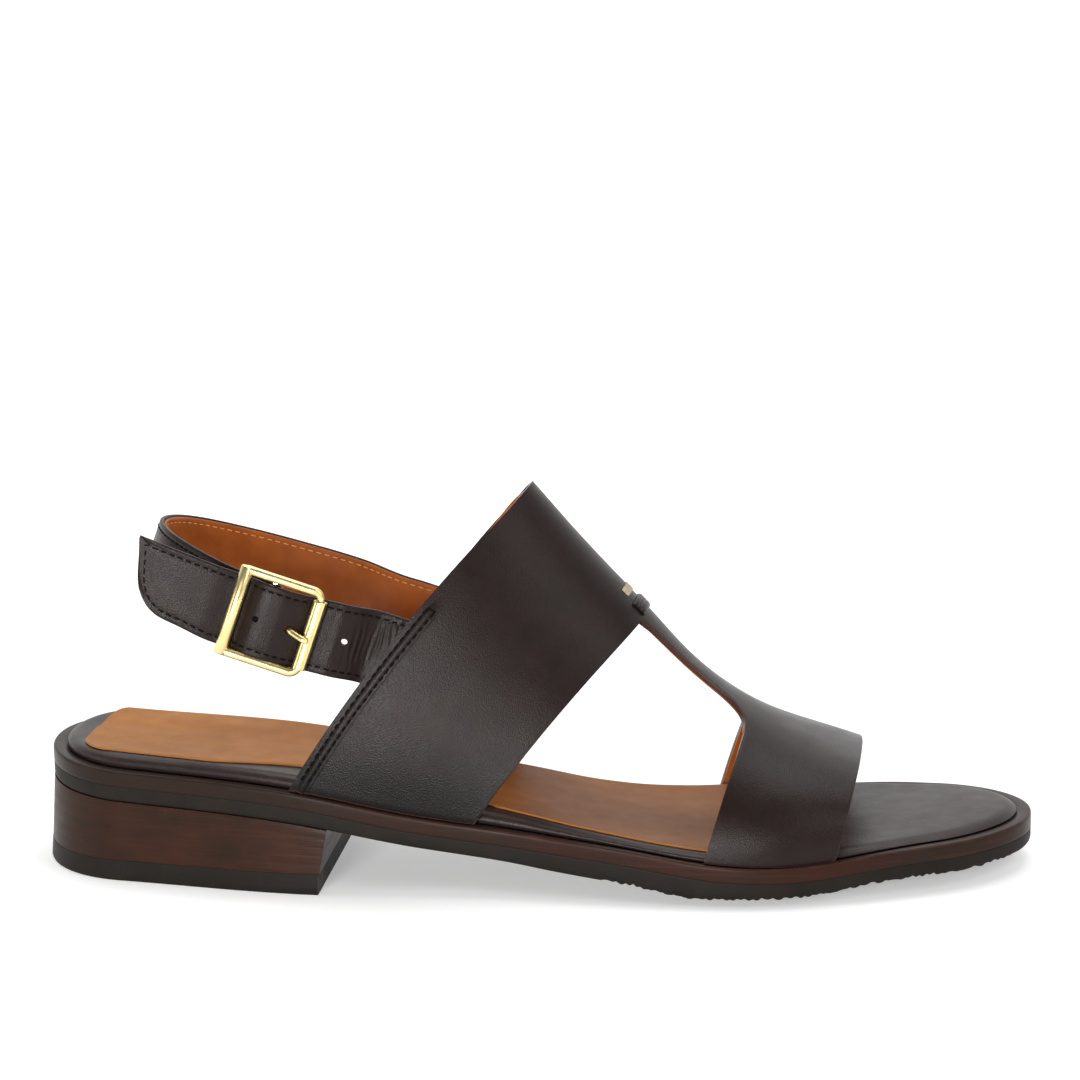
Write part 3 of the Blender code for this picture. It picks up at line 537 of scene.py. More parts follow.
class Bench:
    """The modelling bench: meshes start as primitives and are finished with applied modifiers."""

    @staticmethod
    def clear() -> None:
        """Leaves edit mode and deselects everything."""
        if bpy.context.mode != "OBJECT":
            bpy.ops.object.mode_set(mode="OBJECT")
        bpy.ops.object.select_all(action="DESELECT")

    @staticmethod
    def choose(thing: Thing) -> None:
        """Makes one object the only selected and active one."""
        Bench.clear()
        thing.select_set(True)
        bpy.context.view_layer.objects.active = thing

    @staticmethod
    def named(name: str) -> Thing:
        """Names the object that an operator has just added."""
        thing = bpy.context.active_object
        thing.name = name
        thing.data.name = name
        return thing

    @staticmethod
    def edit(thing: Thing, action: str = "SELECT") -> None:
        """Opens an object in edit mode with all of it selected, or none."""
        Bench.choose(thing)
        bpy.ops.object.mode_set(mode="EDIT")
        bpy.ops.mesh.select_all(action=action)

    @staticmethod
    def corners(thing: Thing) -> np.ndarray:
        """An object's vertices, in metres."""
        flat = np.empty(len(thing.data.vertices) * 3, np.float32)
        thing.data.vertices.foreach_get("co", flat)
        return flat.reshape(-1, 3).astype(float)

    @staticmethod
    def shoe_points(thing: Thing) -> np.ndarray:
        """An object's vertices, in shoe millimetres."""
        return Bench.corners(thing) / MM + MIDDLE

    @staticmethod
    def sheet(name: str, points: np.ndarray) -> Thing:
        """A grid primitive laid over a table of points.

        Args:
            name: the object's name.
            points: rows by columns by three, in shoe millimetres.

        Returns:
            The new object.
        """
        rows, columns = points.shape[:2]
        Bench.clear()
        bpy.ops.mesh.primitive_grid_add(
            x_subdivisions=columns - 1, y_subdivisions=rows - 1, size=2.0
        )
        thing = Bench.named(name)
        flat = Bench.corners(thing)
        j = np.rint((flat[:, 0] + 1) / 2 * (columns - 1)).astype(int)
        i = np.rint((flat[:, 1] + 1) / 2 * (rows - 1)).astype(int)
        thing.data.vertices.foreach_set("co", metres(points[i, j]).astype(np.float32).ravel())
        thing.data.update()
        return thing

    @staticmethod
    def close(thing: Thing) -> None:
        """Merges the seams of a folded sheet and faces it outwards."""
        Bench.edit(thing)
        bpy.ops.mesh.remove_doubles(threshold=0.004 * MM)
        bpy.ops.mesh.dissolve_degenerate(threshold=0.001 * MM)
        bpy.ops.mesh.normals_make_consistent(inside=False)
        bpy.ops.object.mode_set(mode="OBJECT")

    @staticmethod
    def apply(thing: Thing, kind: str, **settings: object) -> None:
        """Adds a modifier with its settings and applies it."""
        Bench.choose(thing)
        modifier = thing.modifiers.new(kind.lower(), kind)
        for name, value in settings.items():
            setattr(modifier, name, value)
        bpy.ops.object.modifier_apply(modifier=modifier.name)

    @staticmethod
    def thicken(thing: Thing, thickness: float, rounding: float, fine: bool) -> None:
        """Gives an open sheet a thickness and rounds its edges.

        Args:
            thing: the sheet.
            thickness: in millimetres, outwards.
            rounding: width of the rounded edge, in millimetres.
            fine: whether normals are worked out with care for bent sheets.
        """
        Bench.apply(
            thing,
            "SOLIDIFY",
            thickness=thickness * MM,
            offset=1.0,
            use_even_offset=True,
            use_quality_normals=fine,
        )
        Bench.apply(
            thing,
            "BEVEL",
            width=rounding * MM,
            segments=2,
            limit_method="ANGLE",
            angle_limit=math.radians(50),
        )

    @staticmethod
    def drop(thing: Thing, picks: Callable[[np.ndarray], np.ndarray]) -> None:
        """Deletes the faces whose index a test picks."""
        Bench.edit(thing, "DESELECT")
        bpy.ops.mesh.select_mode(type="FACE")
        bpy.ops.object.mode_set(mode="OBJECT")
        chosen = picks(np.arange(len(thing.data.polygons)))
        thing.data.polygons.foreach_set("select", chosen)
        bpy.ops.object.mode_set(mode="EDIT")
        bpy.ops.mesh.delete(type="FACE")
        bpy.ops.object.mode_set(mode="OBJECT")

    @staticmethod
    def outwards(thing: Thing) -> None:
        """Turns an open sheet so that its highest face looks up."""
        highest = max(thing.data.polygons, key=lambda face: face.center.z)
        if highest.normal.z < 0:
            Bench.edit(thing)
            bpy.ops.mesh.flip_normals()
            bpy.ops.object.mode_set(mode="OBJECT")

    @staticmethod
    def soft(thing: Thing, degrees: float = 35.0) -> None:
        """Smooth shading that keeps edges sharper than an angle."""
        Bench.choose(thing)
        bpy.ops.object.shade_smooth_by_angle(angle=math.radians(degrees))

    @staticmethod
    def cut(thing: Thing, cutter: Thing) -> None:
        """Cuts one object out of another and removes the cutter."""
        Bench.apply(thing, "BOOLEAN", operation="DIFFERENCE", solver="EXACT", object=cutter)
        bpy.data.objects.remove(cutter)

    @staticmethod
    def join(things: Sequence[Thing], name: str) -> Thing:
        """Joins objects into the first one."""
        Bench.clear()
        for thing in things:
            thing.select_set(True)
        bpy.context.view_layer.objects.active = things[0]
        bpy.ops.object.join()
        return Bench.named(name)

    @staticmethod
    def wire(name: str, points: np.ndarray, radii: Sequence[float]) -> Thing:
        """A round wire along points, as a mesh with closed ends.

        Args:
            name: the object's name.
            points: the wire's middle line, in shoe millimetres.
            radii: its radius at each point, in millimetres.

        Returns:
            The new object.
        """
        curve = bpy.data.curves.new(name, "CURVE")
        curve.dimensions = "3D"
        curve.bevel_depth = MM
        curve.bevel_resolution = 6
        curve.use_fill_caps = True
        spline = curve.splines.new("POLY")
        spline.points.add(len(points) - 1)
        for point, place, radius in zip(spline.points, metres(points), radii):
            point.co = (*place, 1.0)
            point.radius = radius
        thing = bpy.data.objects.new(name, curve)
        bpy.context.scene.collection.objects.link(thing)
        Bench.choose(thing)
        bpy.ops.object.convert(target="MESH")
        thing = Bench.named(name)
        Bench.close(thing)
        return thing

    @staticmethod
    def copies(name: str, model: Thing, places: Sequence[Matrix]) -> Thing:
        """One object with a copy of a model at each place, and the model removed."""
        corners = Bench.corners(model)
        count = len(corners)
        faces = [tuple(face.vertices) for face in model.data.polygons]
        points = [corners @ np.array(m)[:3, :3].T + np.array(m)[:3, 3] for m in places]
        every = [tuple(v + k * count for v in face) for k in range(len(places)) for face in faces]
        made = bpy.data.meshes.new(name)
        made.from_pydata(np.concatenate(points).tolist(), [], every)
        made.update()
        bpy.data.objects.remove(model)
        thing = bpy.data.objects.new(name, made)
        bpy.context.scene.collection.objects.link(thing)
        return thing

    @staticmethod
    def note(thing: Thing, name: str, values: np.ndarray) -> None:
        """Keeps one number per vertex for a finish to read."""
        attribute = thing.data.attributes.new(name, "FLOAT", "POINT")
        attribute.data.foreach_set("value", np.asarray(values, np.float32))

    @staticmethod
    def mark_rim(thing: Thing) -> None:
        """Notes an open sheet's outer vertices, which become its cut edge."""
        uses: dict[tuple[int, int], int] = {}
        for face in thing.data.polygons:
            for key in face.edge_keys:
                uses[key] = uses.get(key, 0) + 1
        rim = np.zeros(len(thing.data.vertices))
        rim[[v for key, count in uses.items() if count == 1 for v in key]] = 1.0
        Bench.note(thing, "cut", rim)


class Paint:
    """A material's node tree, with one short call per node."""

    def __init__(self, name: str) -> None:
        """Starts a material with a principled shader and object coordinates."""
        self.material = bpy.data.materials.new(name)
        self.material.use_nodes = True
        self.tree = self.material.node_tree
        self.shader = self.tree.nodes["Principled BSDF"]
        self.place = self.tree.nodes.new("ShaderNodeTexCoord").outputs["Object"]

    def feed(self, socket: Socket, value: object) -> None:
        """Links a socket to another, or sets its value."""
        if isinstance(value, Socket):
            self.tree.links.new(value, socket)
        else:
            socket.default_value = value

    def set(self, **values: object) -> None:
        """Sets or links the shader's own sockets, named with underscores for spaces."""
        for name, value in values.items():
            self.feed(self.shader.inputs[name.replace("_", " ")], value)

    def node(self, kind: str, **inputs: object) -> bpy.types.Node:
        """A node with its sockets set or linked."""
        made = self.tree.nodes.new(kind)
        for name, value in inputs.items():
            self.feed(made.inputs[name.replace("_", " ")], value)
        return made

    def stretched(self, scale: Sequence[float]) -> Socket:
        """Object coordinates scaled differently along each axis."""
        return self.node("ShaderNodeMapping", Vector=self.place, Scale=tuple(scale)).outputs[0]

    def noise(
        self, scale: float, detail: float = 2.0, stretch: Sequence[float] | None = None
    ) -> Socket:
        """A soft noise from 0 to 1, with scale in cells per metre."""
        place = self.stretched(stretch) if stretch else self.place
        return self.node("ShaderNodeTexNoise", Vector=place, Scale=scale, Detail=detail).outputs[0]

    def cells(self, scale: float) -> Socket:
        """Distance to the nearest point of a scatter, in cells per metre."""
        return self.node("ShaderNodeTexVoronoi", Vector=self.place, Scale=scale).outputs["Distance"]

    def axis(self, name: str) -> Socket:
        """One object coordinate."""
        return self.node("ShaderNodeSeparateXYZ", Vector=self.place).outputs[name]

    def kept(self, name: str) -> Socket:
        """A number that the piece keeps per vertex."""
        node = self.tree.nodes.new("ShaderNodeAttribute")
        node.attribute_name = name
        return node.outputs["Fac"]

    def span(
        self, value: object, low: float, high: float, to: Sequence[float] = (0.0, 1.0)
    ) -> Socket:
        """A value spread from one range onto another and held inside it."""
        ends = {"From_Min": low, "From_Max": high, "To_Min": to[0], "To_Max": to[1]}
        return self.node("ShaderNodeMapRange", Value=value, **ends).outputs[0]

    def rough(self, value: object, middle: float, less: float, more: float) -> None:
        """Lets the shader's roughness vary a little with a noise."""
        self.set(Roughness=self.span(value, 0.3, 0.7, (middle - less, middle + more)))

    def sums(self, operation: str, a: object, b: object) -> Socket:
        """A math node."""
        node = self.tree.nodes.new("ShaderNodeMath")
        node.operation = operation
        self.feed(node.inputs[0], a)
        self.feed(node.inputs[1], b)
        return node.outputs[0]

    def mix(self, share: object, low: object, high: object) -> Socket:
        """A colour between two others."""
        node = self.tree.nodes.new("ShaderNodeMix")
        node.data_type = "RGBA"
        self.feed(node.inputs[0], share)
        self.feed(node.inputs[6], low)
        self.feed(node.inputs[7], high)
        return node.outputs[2]

    def bump(self, height: object, relief: float) -> Socket:
        """A bumped normal from a height of 0 to 1 and its relief in millimetres."""
        node = self.node("ShaderNodeBump", Height=height, Distance=relief * MM, Strength=1.0)
        return node.outputs[0]


@dataclass(frozen=True)
class Leather:
    """Smooth dyed leather with a fine pebbled grain, a soft polish and painted shade kept per
    vertex.
    """

    name: str
    colour: Colour
    shade: Colour
    roughness: float
    grain: float
    relief: float
    gloss: float
    raw: Colour
    # colour of the painted shade that the number kept per vertex mixes in
    worn: Colour

    def make(self) -> bpy.types.Material:
        """Builds the material."""
        paint = Paint(self.name)
        cloud = paint.span(paint.noise(150.0, 4.0), 0.3, 0.7)
        body = paint.mix(cloud, linear(self.colour), linear(self.shade))
        # Painted shade: a number kept per vertex darkens the body, low on the upper and at the
        # sock's front.
        body = paint.mix(paint.kept("worn"), body, linear(self.worn))
        cut = paint.span(paint.kept("cut"), 0.8, 0.97)
        paint.set(Base_Color=paint.mix(cut, body, linear(self.raw)))
        pebbles = paint.sums("MULTIPLY", paint.cells(1000.0 / self.grain), 0.8)
        pores = paint.sums("MULTIPLY", paint.noise(2300.0 / self.grain, 2.0), 0.5)
        height = paint.sums("ADD", pebbles, pores)
        paint.set(Normal=paint.bump(height, self.relief), Specular_IOR_Level=self.gloss)
        paint.rough(paint.noise(180.0, 3.0), self.roughness, 0.03, 0.04)
        return paint.material


@dataclass(frozen=True)
class StackedEdge:
    """Pressed, sanded and stained layers: red-brown patches under fine level scratches."""

    name: str
    dark: Colour
    colour: Colour
    light: Colour
    roughness: float
    burnish: float
    gloss: float

    def make(self) -> bpy.types.Material:
        """Builds the material."""
        paint = Paint(self.name)
        streak = paint.noise(1.0, 4.0, (60.0, 60.0, 2600.0))
        broad = paint.noise(1.0, 6.0, (70.0, 70.0, 190.0))
        body = paint.mix(paint.span(broad, 0.28, 0.68), linear(self.dark), linear(self.colour))
        worn = paint.sums("MULTIPLY", paint.span(streak, 0.52, 0.8), 0.35)
        body = paint.mix(worn, body, linear(self.light))
        back = paint.span(paint.axis("X"), -0.12, -0.085, (self.burnish, 0.0))
        cloud = paint.span(paint.noise(26.0, 3.0), 0.3, 0.6, (0.4, 1.0))
        patch = paint.sums("MULTIPLY", back, cloud)
        paint.set(Base_Color=paint.mix(patch, body, linear(self.dark)))
        scratch = paint.noise(1.0, 2.0, (90.0, 90.0, 5200.0))
        height = paint.sums("ADD", streak, scratch)
        paint.set(Normal=paint.bump(height, 0.03), Specular_IOR_Level=self.gloss)
        paint.rough(broad, self.roughness, 0.07, 0.08)
        return paint.material


@dataclass(frozen=True)
class WeltEdge:
    """Stained sole edge: thin-dyed streaks and a painted highlight along the upper corner."""

    name: str
    dark: Colour
    colour: Colour
    # colour of thin-dyed streaks and of the painted highlight on the upper corner
    worn: Colour
    stain: Colour
    roughness: float
    gloss: float

    def make(self) -> bpy.types.Material:
        """Builds the material."""
        paint = Paint(self.name)
        streak = paint.noise(1.0, 3.0, (30.0, 30.0, 1100.0))
        broad = paint.noise(34.0, 4.0)
        body = paint.mix(paint.span(broad, 0.3, 0.68), linear(self.dark), linear(self.colour))
        thin = paint.sums("MULTIPLY", paint.span(streak, 0.55, 0.85), 0.3)
        body = paint.mix(thin, body, linear(self.worn))
        # Painted highlight: lightens the edge along its upper corner, where the kept corner number
        # is high.
        cloud = paint.span(paint.noise(90.0, 3.0), 0.42, 0.72, (0.0, 0.6))
        rubbed = paint.sums("MULTIPLY", paint.kept("rubbed"), cloud)
        body = paint.mix(rubbed, body, linear(self.worn))
        seat = paint.span(paint.axis("X"), -0.06, 0.0, (0.75, 0.0))
        body = paint.mix(seat, body, linear(self.dark))
        paint.set(Base_Color=paint.mix(paint.kept("stained"), body, linear(self.stain)))
        height = paint.sums("ADD", streak, paint.noise(1500.0))
        paint.set(Normal=paint.bump(height, 0.04), Specular_IOR_Level=self.gloss)
        paint.rough(broad, self.roughness, 0.06, 0.08)
        return paint.material


@dataclass(frozen=True)
class Rubber:
    """Dark rubber with a dull moulded skin."""

    name: str
    colour: Colour
    dust: Colour
    roughness: float
    gloss: float

    def make(self) -> bpy.types.Material:
        """Builds the material."""
        paint = Paint(self.name)
        cloud = paint.span(paint.noise(120.0, 4.0), 0.4, 0.75)
        paint.set(Base_Color=paint.mix(cloud, linear(self.colour), linear(self.dust)))
        paint.set(Normal=paint.bump(paint.noise(2600.0, 3.0), 0.05), Specular_IOR_Level=self.gloss)
        ends = (self.roughness - 0.06, self.roughness + 0.1)
        paint.set(Roughness=paint.span(cloud, 0.0, 1.0, ends))
        return paint.material


@dataclass(frozen=True)
class Gold:
    """Polished pale gold plate with faint rubbed marks."""

    name: str
    colour: Colour
    deep: Colour
    roughness: float

    def make(self) -> bpy.types.Material:
        """Builds the material."""
        paint = Paint(self.name)
        cloud = paint.span(paint.noise(260.0, 3.0), 0.35, 0.7)
        body = paint.mix(cloud, linear(self.colour), linear(self.deep))
        ends = (self.roughness - 0.03, self.roughness + 0.05)
        rub = paint.span(paint.noise(500.0, 3.0), 0.3, 0.75, ends)
        paint.set(Base_Color=body, Metallic=1.0, Roughness=rub)
        return paint.material


@dataclass(frozen=True)
class Thread:
    """Twisted waxed thread."""

    name: str
    colour: Colour
    shade: Colour

    def make(self) -> bpy.types.Material:
        """Builds the material."""
        paint = Paint(self.name)
        twist = paint.noise(2600.0, 2.0)
        body = paint.mix(paint.span(twist, 0.35, 0.65), linear(self.shade), linear(self.colour))
        paint.set(Base_Color=body, Normal=paint.bump(twist, 0.08))
        paint.set(Roughness=0.7, Specular_IOR_Level=0.08)
        return paint.material


class Finishes:
    """Every finish of the sandal, made once."""

    def __init__(self) -> None:
        """Makes the materials."""
        raw = (62, 41, 34)
        self.upper = Leather(
            name="dark_leather",
            colour=(33, 24, 22),
            shade=(28, 20, 18),
            roughness=0.31,
            grain=0.36,
            relief=0.06,
            gloss=0.14,
            raw=raw,
            # colour of the painted shade low on the upper
            worn=(10, 6, 5),
        ).make()
        self.footbed = Leather(
            name="footbed_leather",
            colour=(42, 32, 30),
            shade=(36, 27, 25),
            roughness=0.40,
            grain=0.55,
            relief=0.05,
            gloss=0.22,
            raw=raw,
            worn=raw,
        ).make()
        self.lining = Leather(
            name="tan_lining",
            colour=(164, 87, 29),
            shade=(142, 72, 22),
            roughness=0.50,
            grain=0.9,
            relief=0.03,
            gloss=0.2,
            raw=(150, 86, 36),
            worn=raw,
        ).make()
        self.sock = Leather(
            name="tan_sock",
            colour=(162, 106, 48),
            shade=(148, 94, 40),
            roughness=0.50,
            grain=0.9,
            relief=0.025,
            gloss=0.1,
            raw=(150, 100, 54),
            # colour of the painted shade at the sock's front
            worn=(100, 54, 20),
        ).make()
        self.stack = StackedEdge(
            name="stacked_heel",
            dark=(38, 27, 21),
            colour=(56, 32, 22),
            light=(74, 46, 34),
            roughness=0.36,
            burnish=0.7,
            gloss=0.08,
        ).make()
        self.welt = WeltEdge(
            name="welt_edge",
            dark=(36, 27, 22),
            colour=(48, 25, 17),
            # colour of thin-dyed streaks and of the painted highlight on the upper corner
            worn=(78, 52, 40),
            stain=(44, 34, 30),
            roughness=0.38,
            gloss=0.1,
        ).make()
        self.rubber = Rubber("sole_rubber_fine", (27, 23, 19), (34, 29, 25), 0.55, 0.1).make()
        self.gold = Gold("buckle_gold_fine", (240, 222, 160), (230, 208, 140), 0.3).make()
        # also the painted shade disc inside the first punched hole
        self.dark_thread = Thread("dark_thread", (10, 7, 7), (5, 4, 4)).make()
        self.tan_thread = Thread("tan_thread", (226, 168, 98), (204, 142, 76)).make()
        self.tab = Thread("beige_tab", (178, 164, 138), (150, 136, 112)).make()


@dataclass
class Piecework:
    """What every sub-assembly starts from: the foot form, the finishes and its finished pieces."""

    finishes: Finishes
    last: Last = LAST
    made: list[Thing] = field(default_factory=list)
    corner_softness: tuple[float, float] = (0.6, 2.2)
    spine_short: float = 15.0

    def give(
        self,
        thing: Thing,
        material: bpy.types.Material,
        slot: Slot,
        stands_for: Sequence[str] = (),
        degrees: float = 35.0,
    ) -> None:
        """Dresses a finished piece and hands it to the frame.

        Args:
            thing: the piece.
            material: its finish.
            slot: the record's slot for the finish; not used.
            stands_for: CAD nodes that it replaces.
            degrees: angle over which edges stay sharp.
        """
        Bench.soft(thing, degrees)
        thing.data.materials.clear()
        thing.data.materials.append(material)
        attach(thing, "root")
        if stands_for:
            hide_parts(*stands_for)
        self.made.append(thing)
        LOG.info("%s: %d faces", thing.name, len(thing.data.polygons))

    @staticmethod
    def closed(rows: Sequence[Row]) -> list[Row]:
        """Rows of an edge with its first and last ring drawn in to the spine."""
        return [rows[0]._replace(share=1), *rows, rows[-1]._replace(share=1)]

    def layer(self, name: str, ring: Ring, rows: Sequence[Row]) -> Thing:
        """A closed layer of the sole from rings of its profile.

        Args:
            name: the object's name.
            ring: gives the plan edge and the spine for an inset and a stretch.
            rows: the profile, from the spine below, round the edge, to the spine above.

        Returns:
            The new object.
        """
        rings = []
        for row in rows:
            edge, spine = ring(row.inset, row.stretch)
            plan = edge + row.share * (spine - edge)
            rings.append(np.column_stack([plan, row.height(plan[:, 0], plan[:, 1])]))
        points = np.stack(rings)
        thing = Bench.sheet(name, np.concatenate([points, points[:, :1]], axis=1))
        Bench.close(thing)
        return thing

    def whole_ring(self, stations: np.ndarray) -> Ring:
        """The ring of a layer that runs from heel to toe."""

        def ring(inset: float, stretch: float) -> tuple[np.ndarray, np.ndarray]:
            """Edge and spine at an inset."""
            outer = self.last.edge(stations, Side.OUTER, inset)
            inner = self.last.edge(stations, Side.INNER, inset)
            s = (outer[:, 0] + inner[:, 0]) / 2
            spine = np.column_stack([s, fair(SOLE, "centre", s)])
            return np.concatenate([outer, inner[-2:0:-1]]), np.concatenate([spine, spine[-2:0:-1]])

        return ring

    def cut_ring(
        self,
        stations: np.ndarray,
        columns: int,
        back: float = 0.0,
        slant: float = 0.0,
        waist: Callable[[np.ndarray], np.ndarray] = np.zeros_like,
    ) -> Ring:
        """The ring of a layer with a straight front end.

        Args:
            stations: places from the heel to the cut.
            columns: faces across the cut.
            back: where a squared heel end is cut, or 0 for a round one.
            slant: how much further forward the heel end is cut per millimetre to the inner side.
            waist: how much narrower the outer side is at each station.

        Returns:
            A function of inset and stretch that gives edge and spine.
        """

        def ring(inset: float, stretch: float) -> tuple[np.ndarray, np.ndarray]:
            """Edge and spine at an inset and a stretch."""
            s = stations * stretch
            outer = self.last.edge(s, Side.OUTER, inset + waist(s))
            inner = self.last.edge(s, Side.INNER, inset)
            if back:
                for edge, soft in zip((outer, inner), self.corner_softness):
                    cut = back + slant * edge[:, 1]
                    edge[:, 0] = cut + np.logaddexp(0.0, (edge[:, 0] - cut) / soft) * soft
            shares = np.linspace(0, 1, columns + 1)[1:-1, None]
            across = outer[-1] + shares * (inner[-1] - outer[-1])
            s = np.minimum((outer[:, 0] + inner[:, 0]) / 2, s[-1] - self.spine_short)
            spine = np.column_stack([s, fair(SOLE, "centre", s)])
            middle = np.repeat(spine[-1:], len(across), axis=0)
            edge = np.concatenate([outer, across, inner[:0:-1]])
            return edge, np.concatenate([spine, middle, spine[:0:-1]])

        return ring


@dataclass
class Sole(Piecework):
    """Outsole, welted midsole, stacked heel and top piece."""

    midsole: float = 4.0
    breast_top: float = 80.2
    breast_bottom: float = 77.8
    top_piece: float = 5.5
    flare: float = 1.6
    tread_from: float = 148.0
    tread_to: float = 259.0
    tread_fade: float = 6.0
    tread_depth: float = 0.7
    lug_pitch: float = 6.1
    crumb_pitch: float = 2.3
    fleck_pitch: float = 1.6
    toe_camber: float = 0.6
    glue: float = 0.02
    lifts: int = 5
    block_inset: float = -1.1
    block_taper: float = 1.12
    foot_stretch: float = 1.006

    def tread(self, s: np.ndarray, y: np.ndarray) -> np.ndarray:
        """Depth cut into the outsole: low waves broken into small uneven crumbs."""
        turn = 2 * np.pi * s
        fade_in = np.clip((s - self.tread_from) / self.tread_fade, 0, 1)
        fade_out = np.clip((self.tread_to - s) / self.tread_fade, 0, 1)
        lug = turn / self.lug_pitch + 1.6 * np.sin(s / 9.3) + 0.12 * y
        patch = 0.55 + 0.45 * np.sin(s / 4.7 + 1.9 * np.sin(s / 12.1) + 0.2 * y)
        crumb = turn / self.crumb_pitch + 2.6 * np.sin(s / 3.7) + 1.1 * np.sin(0.5 * y)
        fleck = turn / self.fleck_pitch + 2.9 * np.sin(s / 5.7 + 0.4 * y) + 0.9 * y
        lug, crumb, fleck = (0.5 + 0.5 * np.sin(phase) for phase in (lug, crumb, fleck))
        rough = 0.4 * lug + 0.55 * patch * crumb**1.5 + 0.2 * fleck * crumb
        return self.tread_depth * fade_in * fade_out * rough

    def build(self) -> None:
        """Models the four layers below the footbed."""
        last = self.last

        def bottom(s: np.ndarray, y: np.ndarray) -> np.ndarray:
            """Outsole bottom with its tread."""
            return last.under(s, y) + self.toe_camber * last.camber(s, y) + self.tread(s, y)

        low = above(last.rim, -self.midsole)
        top = above(low, -self.glue)

        def between(share: float) -> Height:
            """A height a share of the way up the outsole's side."""
            return lambda s, y: bottom(s, y) + share * (top(s, y) - bottom(s, y))

        plain = np.arange(4.0, 146.0, 1.2)
        treaded = np.arange(146.0, last.length - 3.0, 0.36)
        ends = np.array([0.0, 0.15, 0.5, 1.1, 1.9, 2.9])
        stations = np.concatenate([ends, plain, treaded, last.length - ends[::-1]])
        rows = [Row(0.9, share, bottom) for share in (0.8, 0.6, 0.4, 0.2, 0.08, 0.0)]
        rows += edge_rows(bottom, OUTSOLE_FOOT)
        rows += [Row(0.06, 0, between(share)) for share in (0.3, 0.6, 0.9)]
        rows += edge_rows(top, OUTSOLE_HEAD)
        outsole = self.layer("outsole_tread", self.whole_ring(stations), self.closed(rows))
        self.give(outsole, self.finishes.rubber, Slot.RUBBER, ["outsole"], 50.0)

        rows = edge_rows(low, WELT_FOOT) + edge_rows(last.rim, WELT_HEAD)
        ring = self.whole_ring(last.stations(200))
        midsole = self.layer("welted_midsole", ring, self.closed(rows))
        self.mark_highlight_and_stain(midsole)
        self.give(midsole, self.finishes.welt, Slot.EDGE, ["midsole"], 60.0)
        self.build_heel()

    def mark_highlight_and_stain(self, midsole: Thing) -> None:
        """Notes the painted highlight on the edge's upper corner and the ledge's dark stain."""
        points = Bench.shoe_points(midsole)
        depth = self.last.rim(points[:, 0], points[:, 1]) - points[:, 2]
        inset = self.inset_of(points)
        # Painted highlight along the rounded upper corner, just under the rim.
        Bench.note(midsole, "rubbed", bell(depth - 0.25, 0.3) * bell(inset - 0.2, 0.5))
        Bench.note(midsole, "stained", np.clip((inset - 0.9) / 0.8, 0, 1) * (depth < 1.0))

    def inset_of(self, points: np.ndarray) -> np.ndarray:
        """How far plan points lie inside the sole's edge."""
        s = np.linspace(0, self.last.length, 1500)
        plan = np.concatenate([self.last.edge(s, side, 0.0) for side in Side])
        return np.array([np.hypot(*(plan - p[:2]).T).min() for p in points])

    def build_heel(self) -> None:
        """Models the stacked block and the rubber top piece."""
        last = self.last
        stations = self.breast_bottom * (1 - np.cos(np.pi / 2 * np.arange(61) / 60))
        ring = self.cut_ring(stations, 24)
        slant = self.breast_top / self.breast_bottom

        def stacked(share: float) -> Height:
            """A height between the top piece and the outsole."""
            low = self.top_piece + self.glue
            return lambda s, y: low + share * (last.under(s, y) - self.glue - low)

        def side_row(share: float, groove: float) -> Row:
            """A ring of the block's side."""
            inset = self.block_inset + self.block_taper * share + groove
            stretch = self.foot_stretch + share * (slant - self.foot_stretch)
            return Row(inset, 0, stacked(share), stretch)

        rows = [Row(self.block_inset, 1, stacked(0), self.foot_stretch)]
        for lift in range(self.lifts):
            first, end = lift / self.lifts, (lift + 1) / self.lifts
            rows += [side_row(first, 0.02), side_row(first + 0.02, 0.0)]
            rows += [side_row((first + end) / 2, -0.02), side_row(end - 0.02, 0.0)]
        rows += [side_row(1.0, 0.06), Row(0.2, 1, stacked(1), slant)]
        block = self.layer("stacked_heel", ring, rows)
        self.give(block, self.finishes.stack, Slot.STACK, ["heel_block"], 40.0)

        high, flare, stretch = self.top_piece, self.flare, self.foot_stretch
        corners = (
            Corner(0.5 - flare, 0.0),
            Corner(0.2 - flare, 0.14),
            Corner(-flare, 0.6),
            Corner(-1.45, high * 0.4),
            Corner(-1.2, high - 0.4),
            Corner(-1.14, high - 0.05, stretch),
            Corner(-0.9, high, stretch),
        )
        rows = self.closed(edge_rows(lambda s, y: np.zeros_like(s), corners))
        piece = self.layer("heel_top_piece", ring, rows)
        self.give(piece, self.finishes.rubber, Slot.RUBBER, ["top_piece"], 40.0)


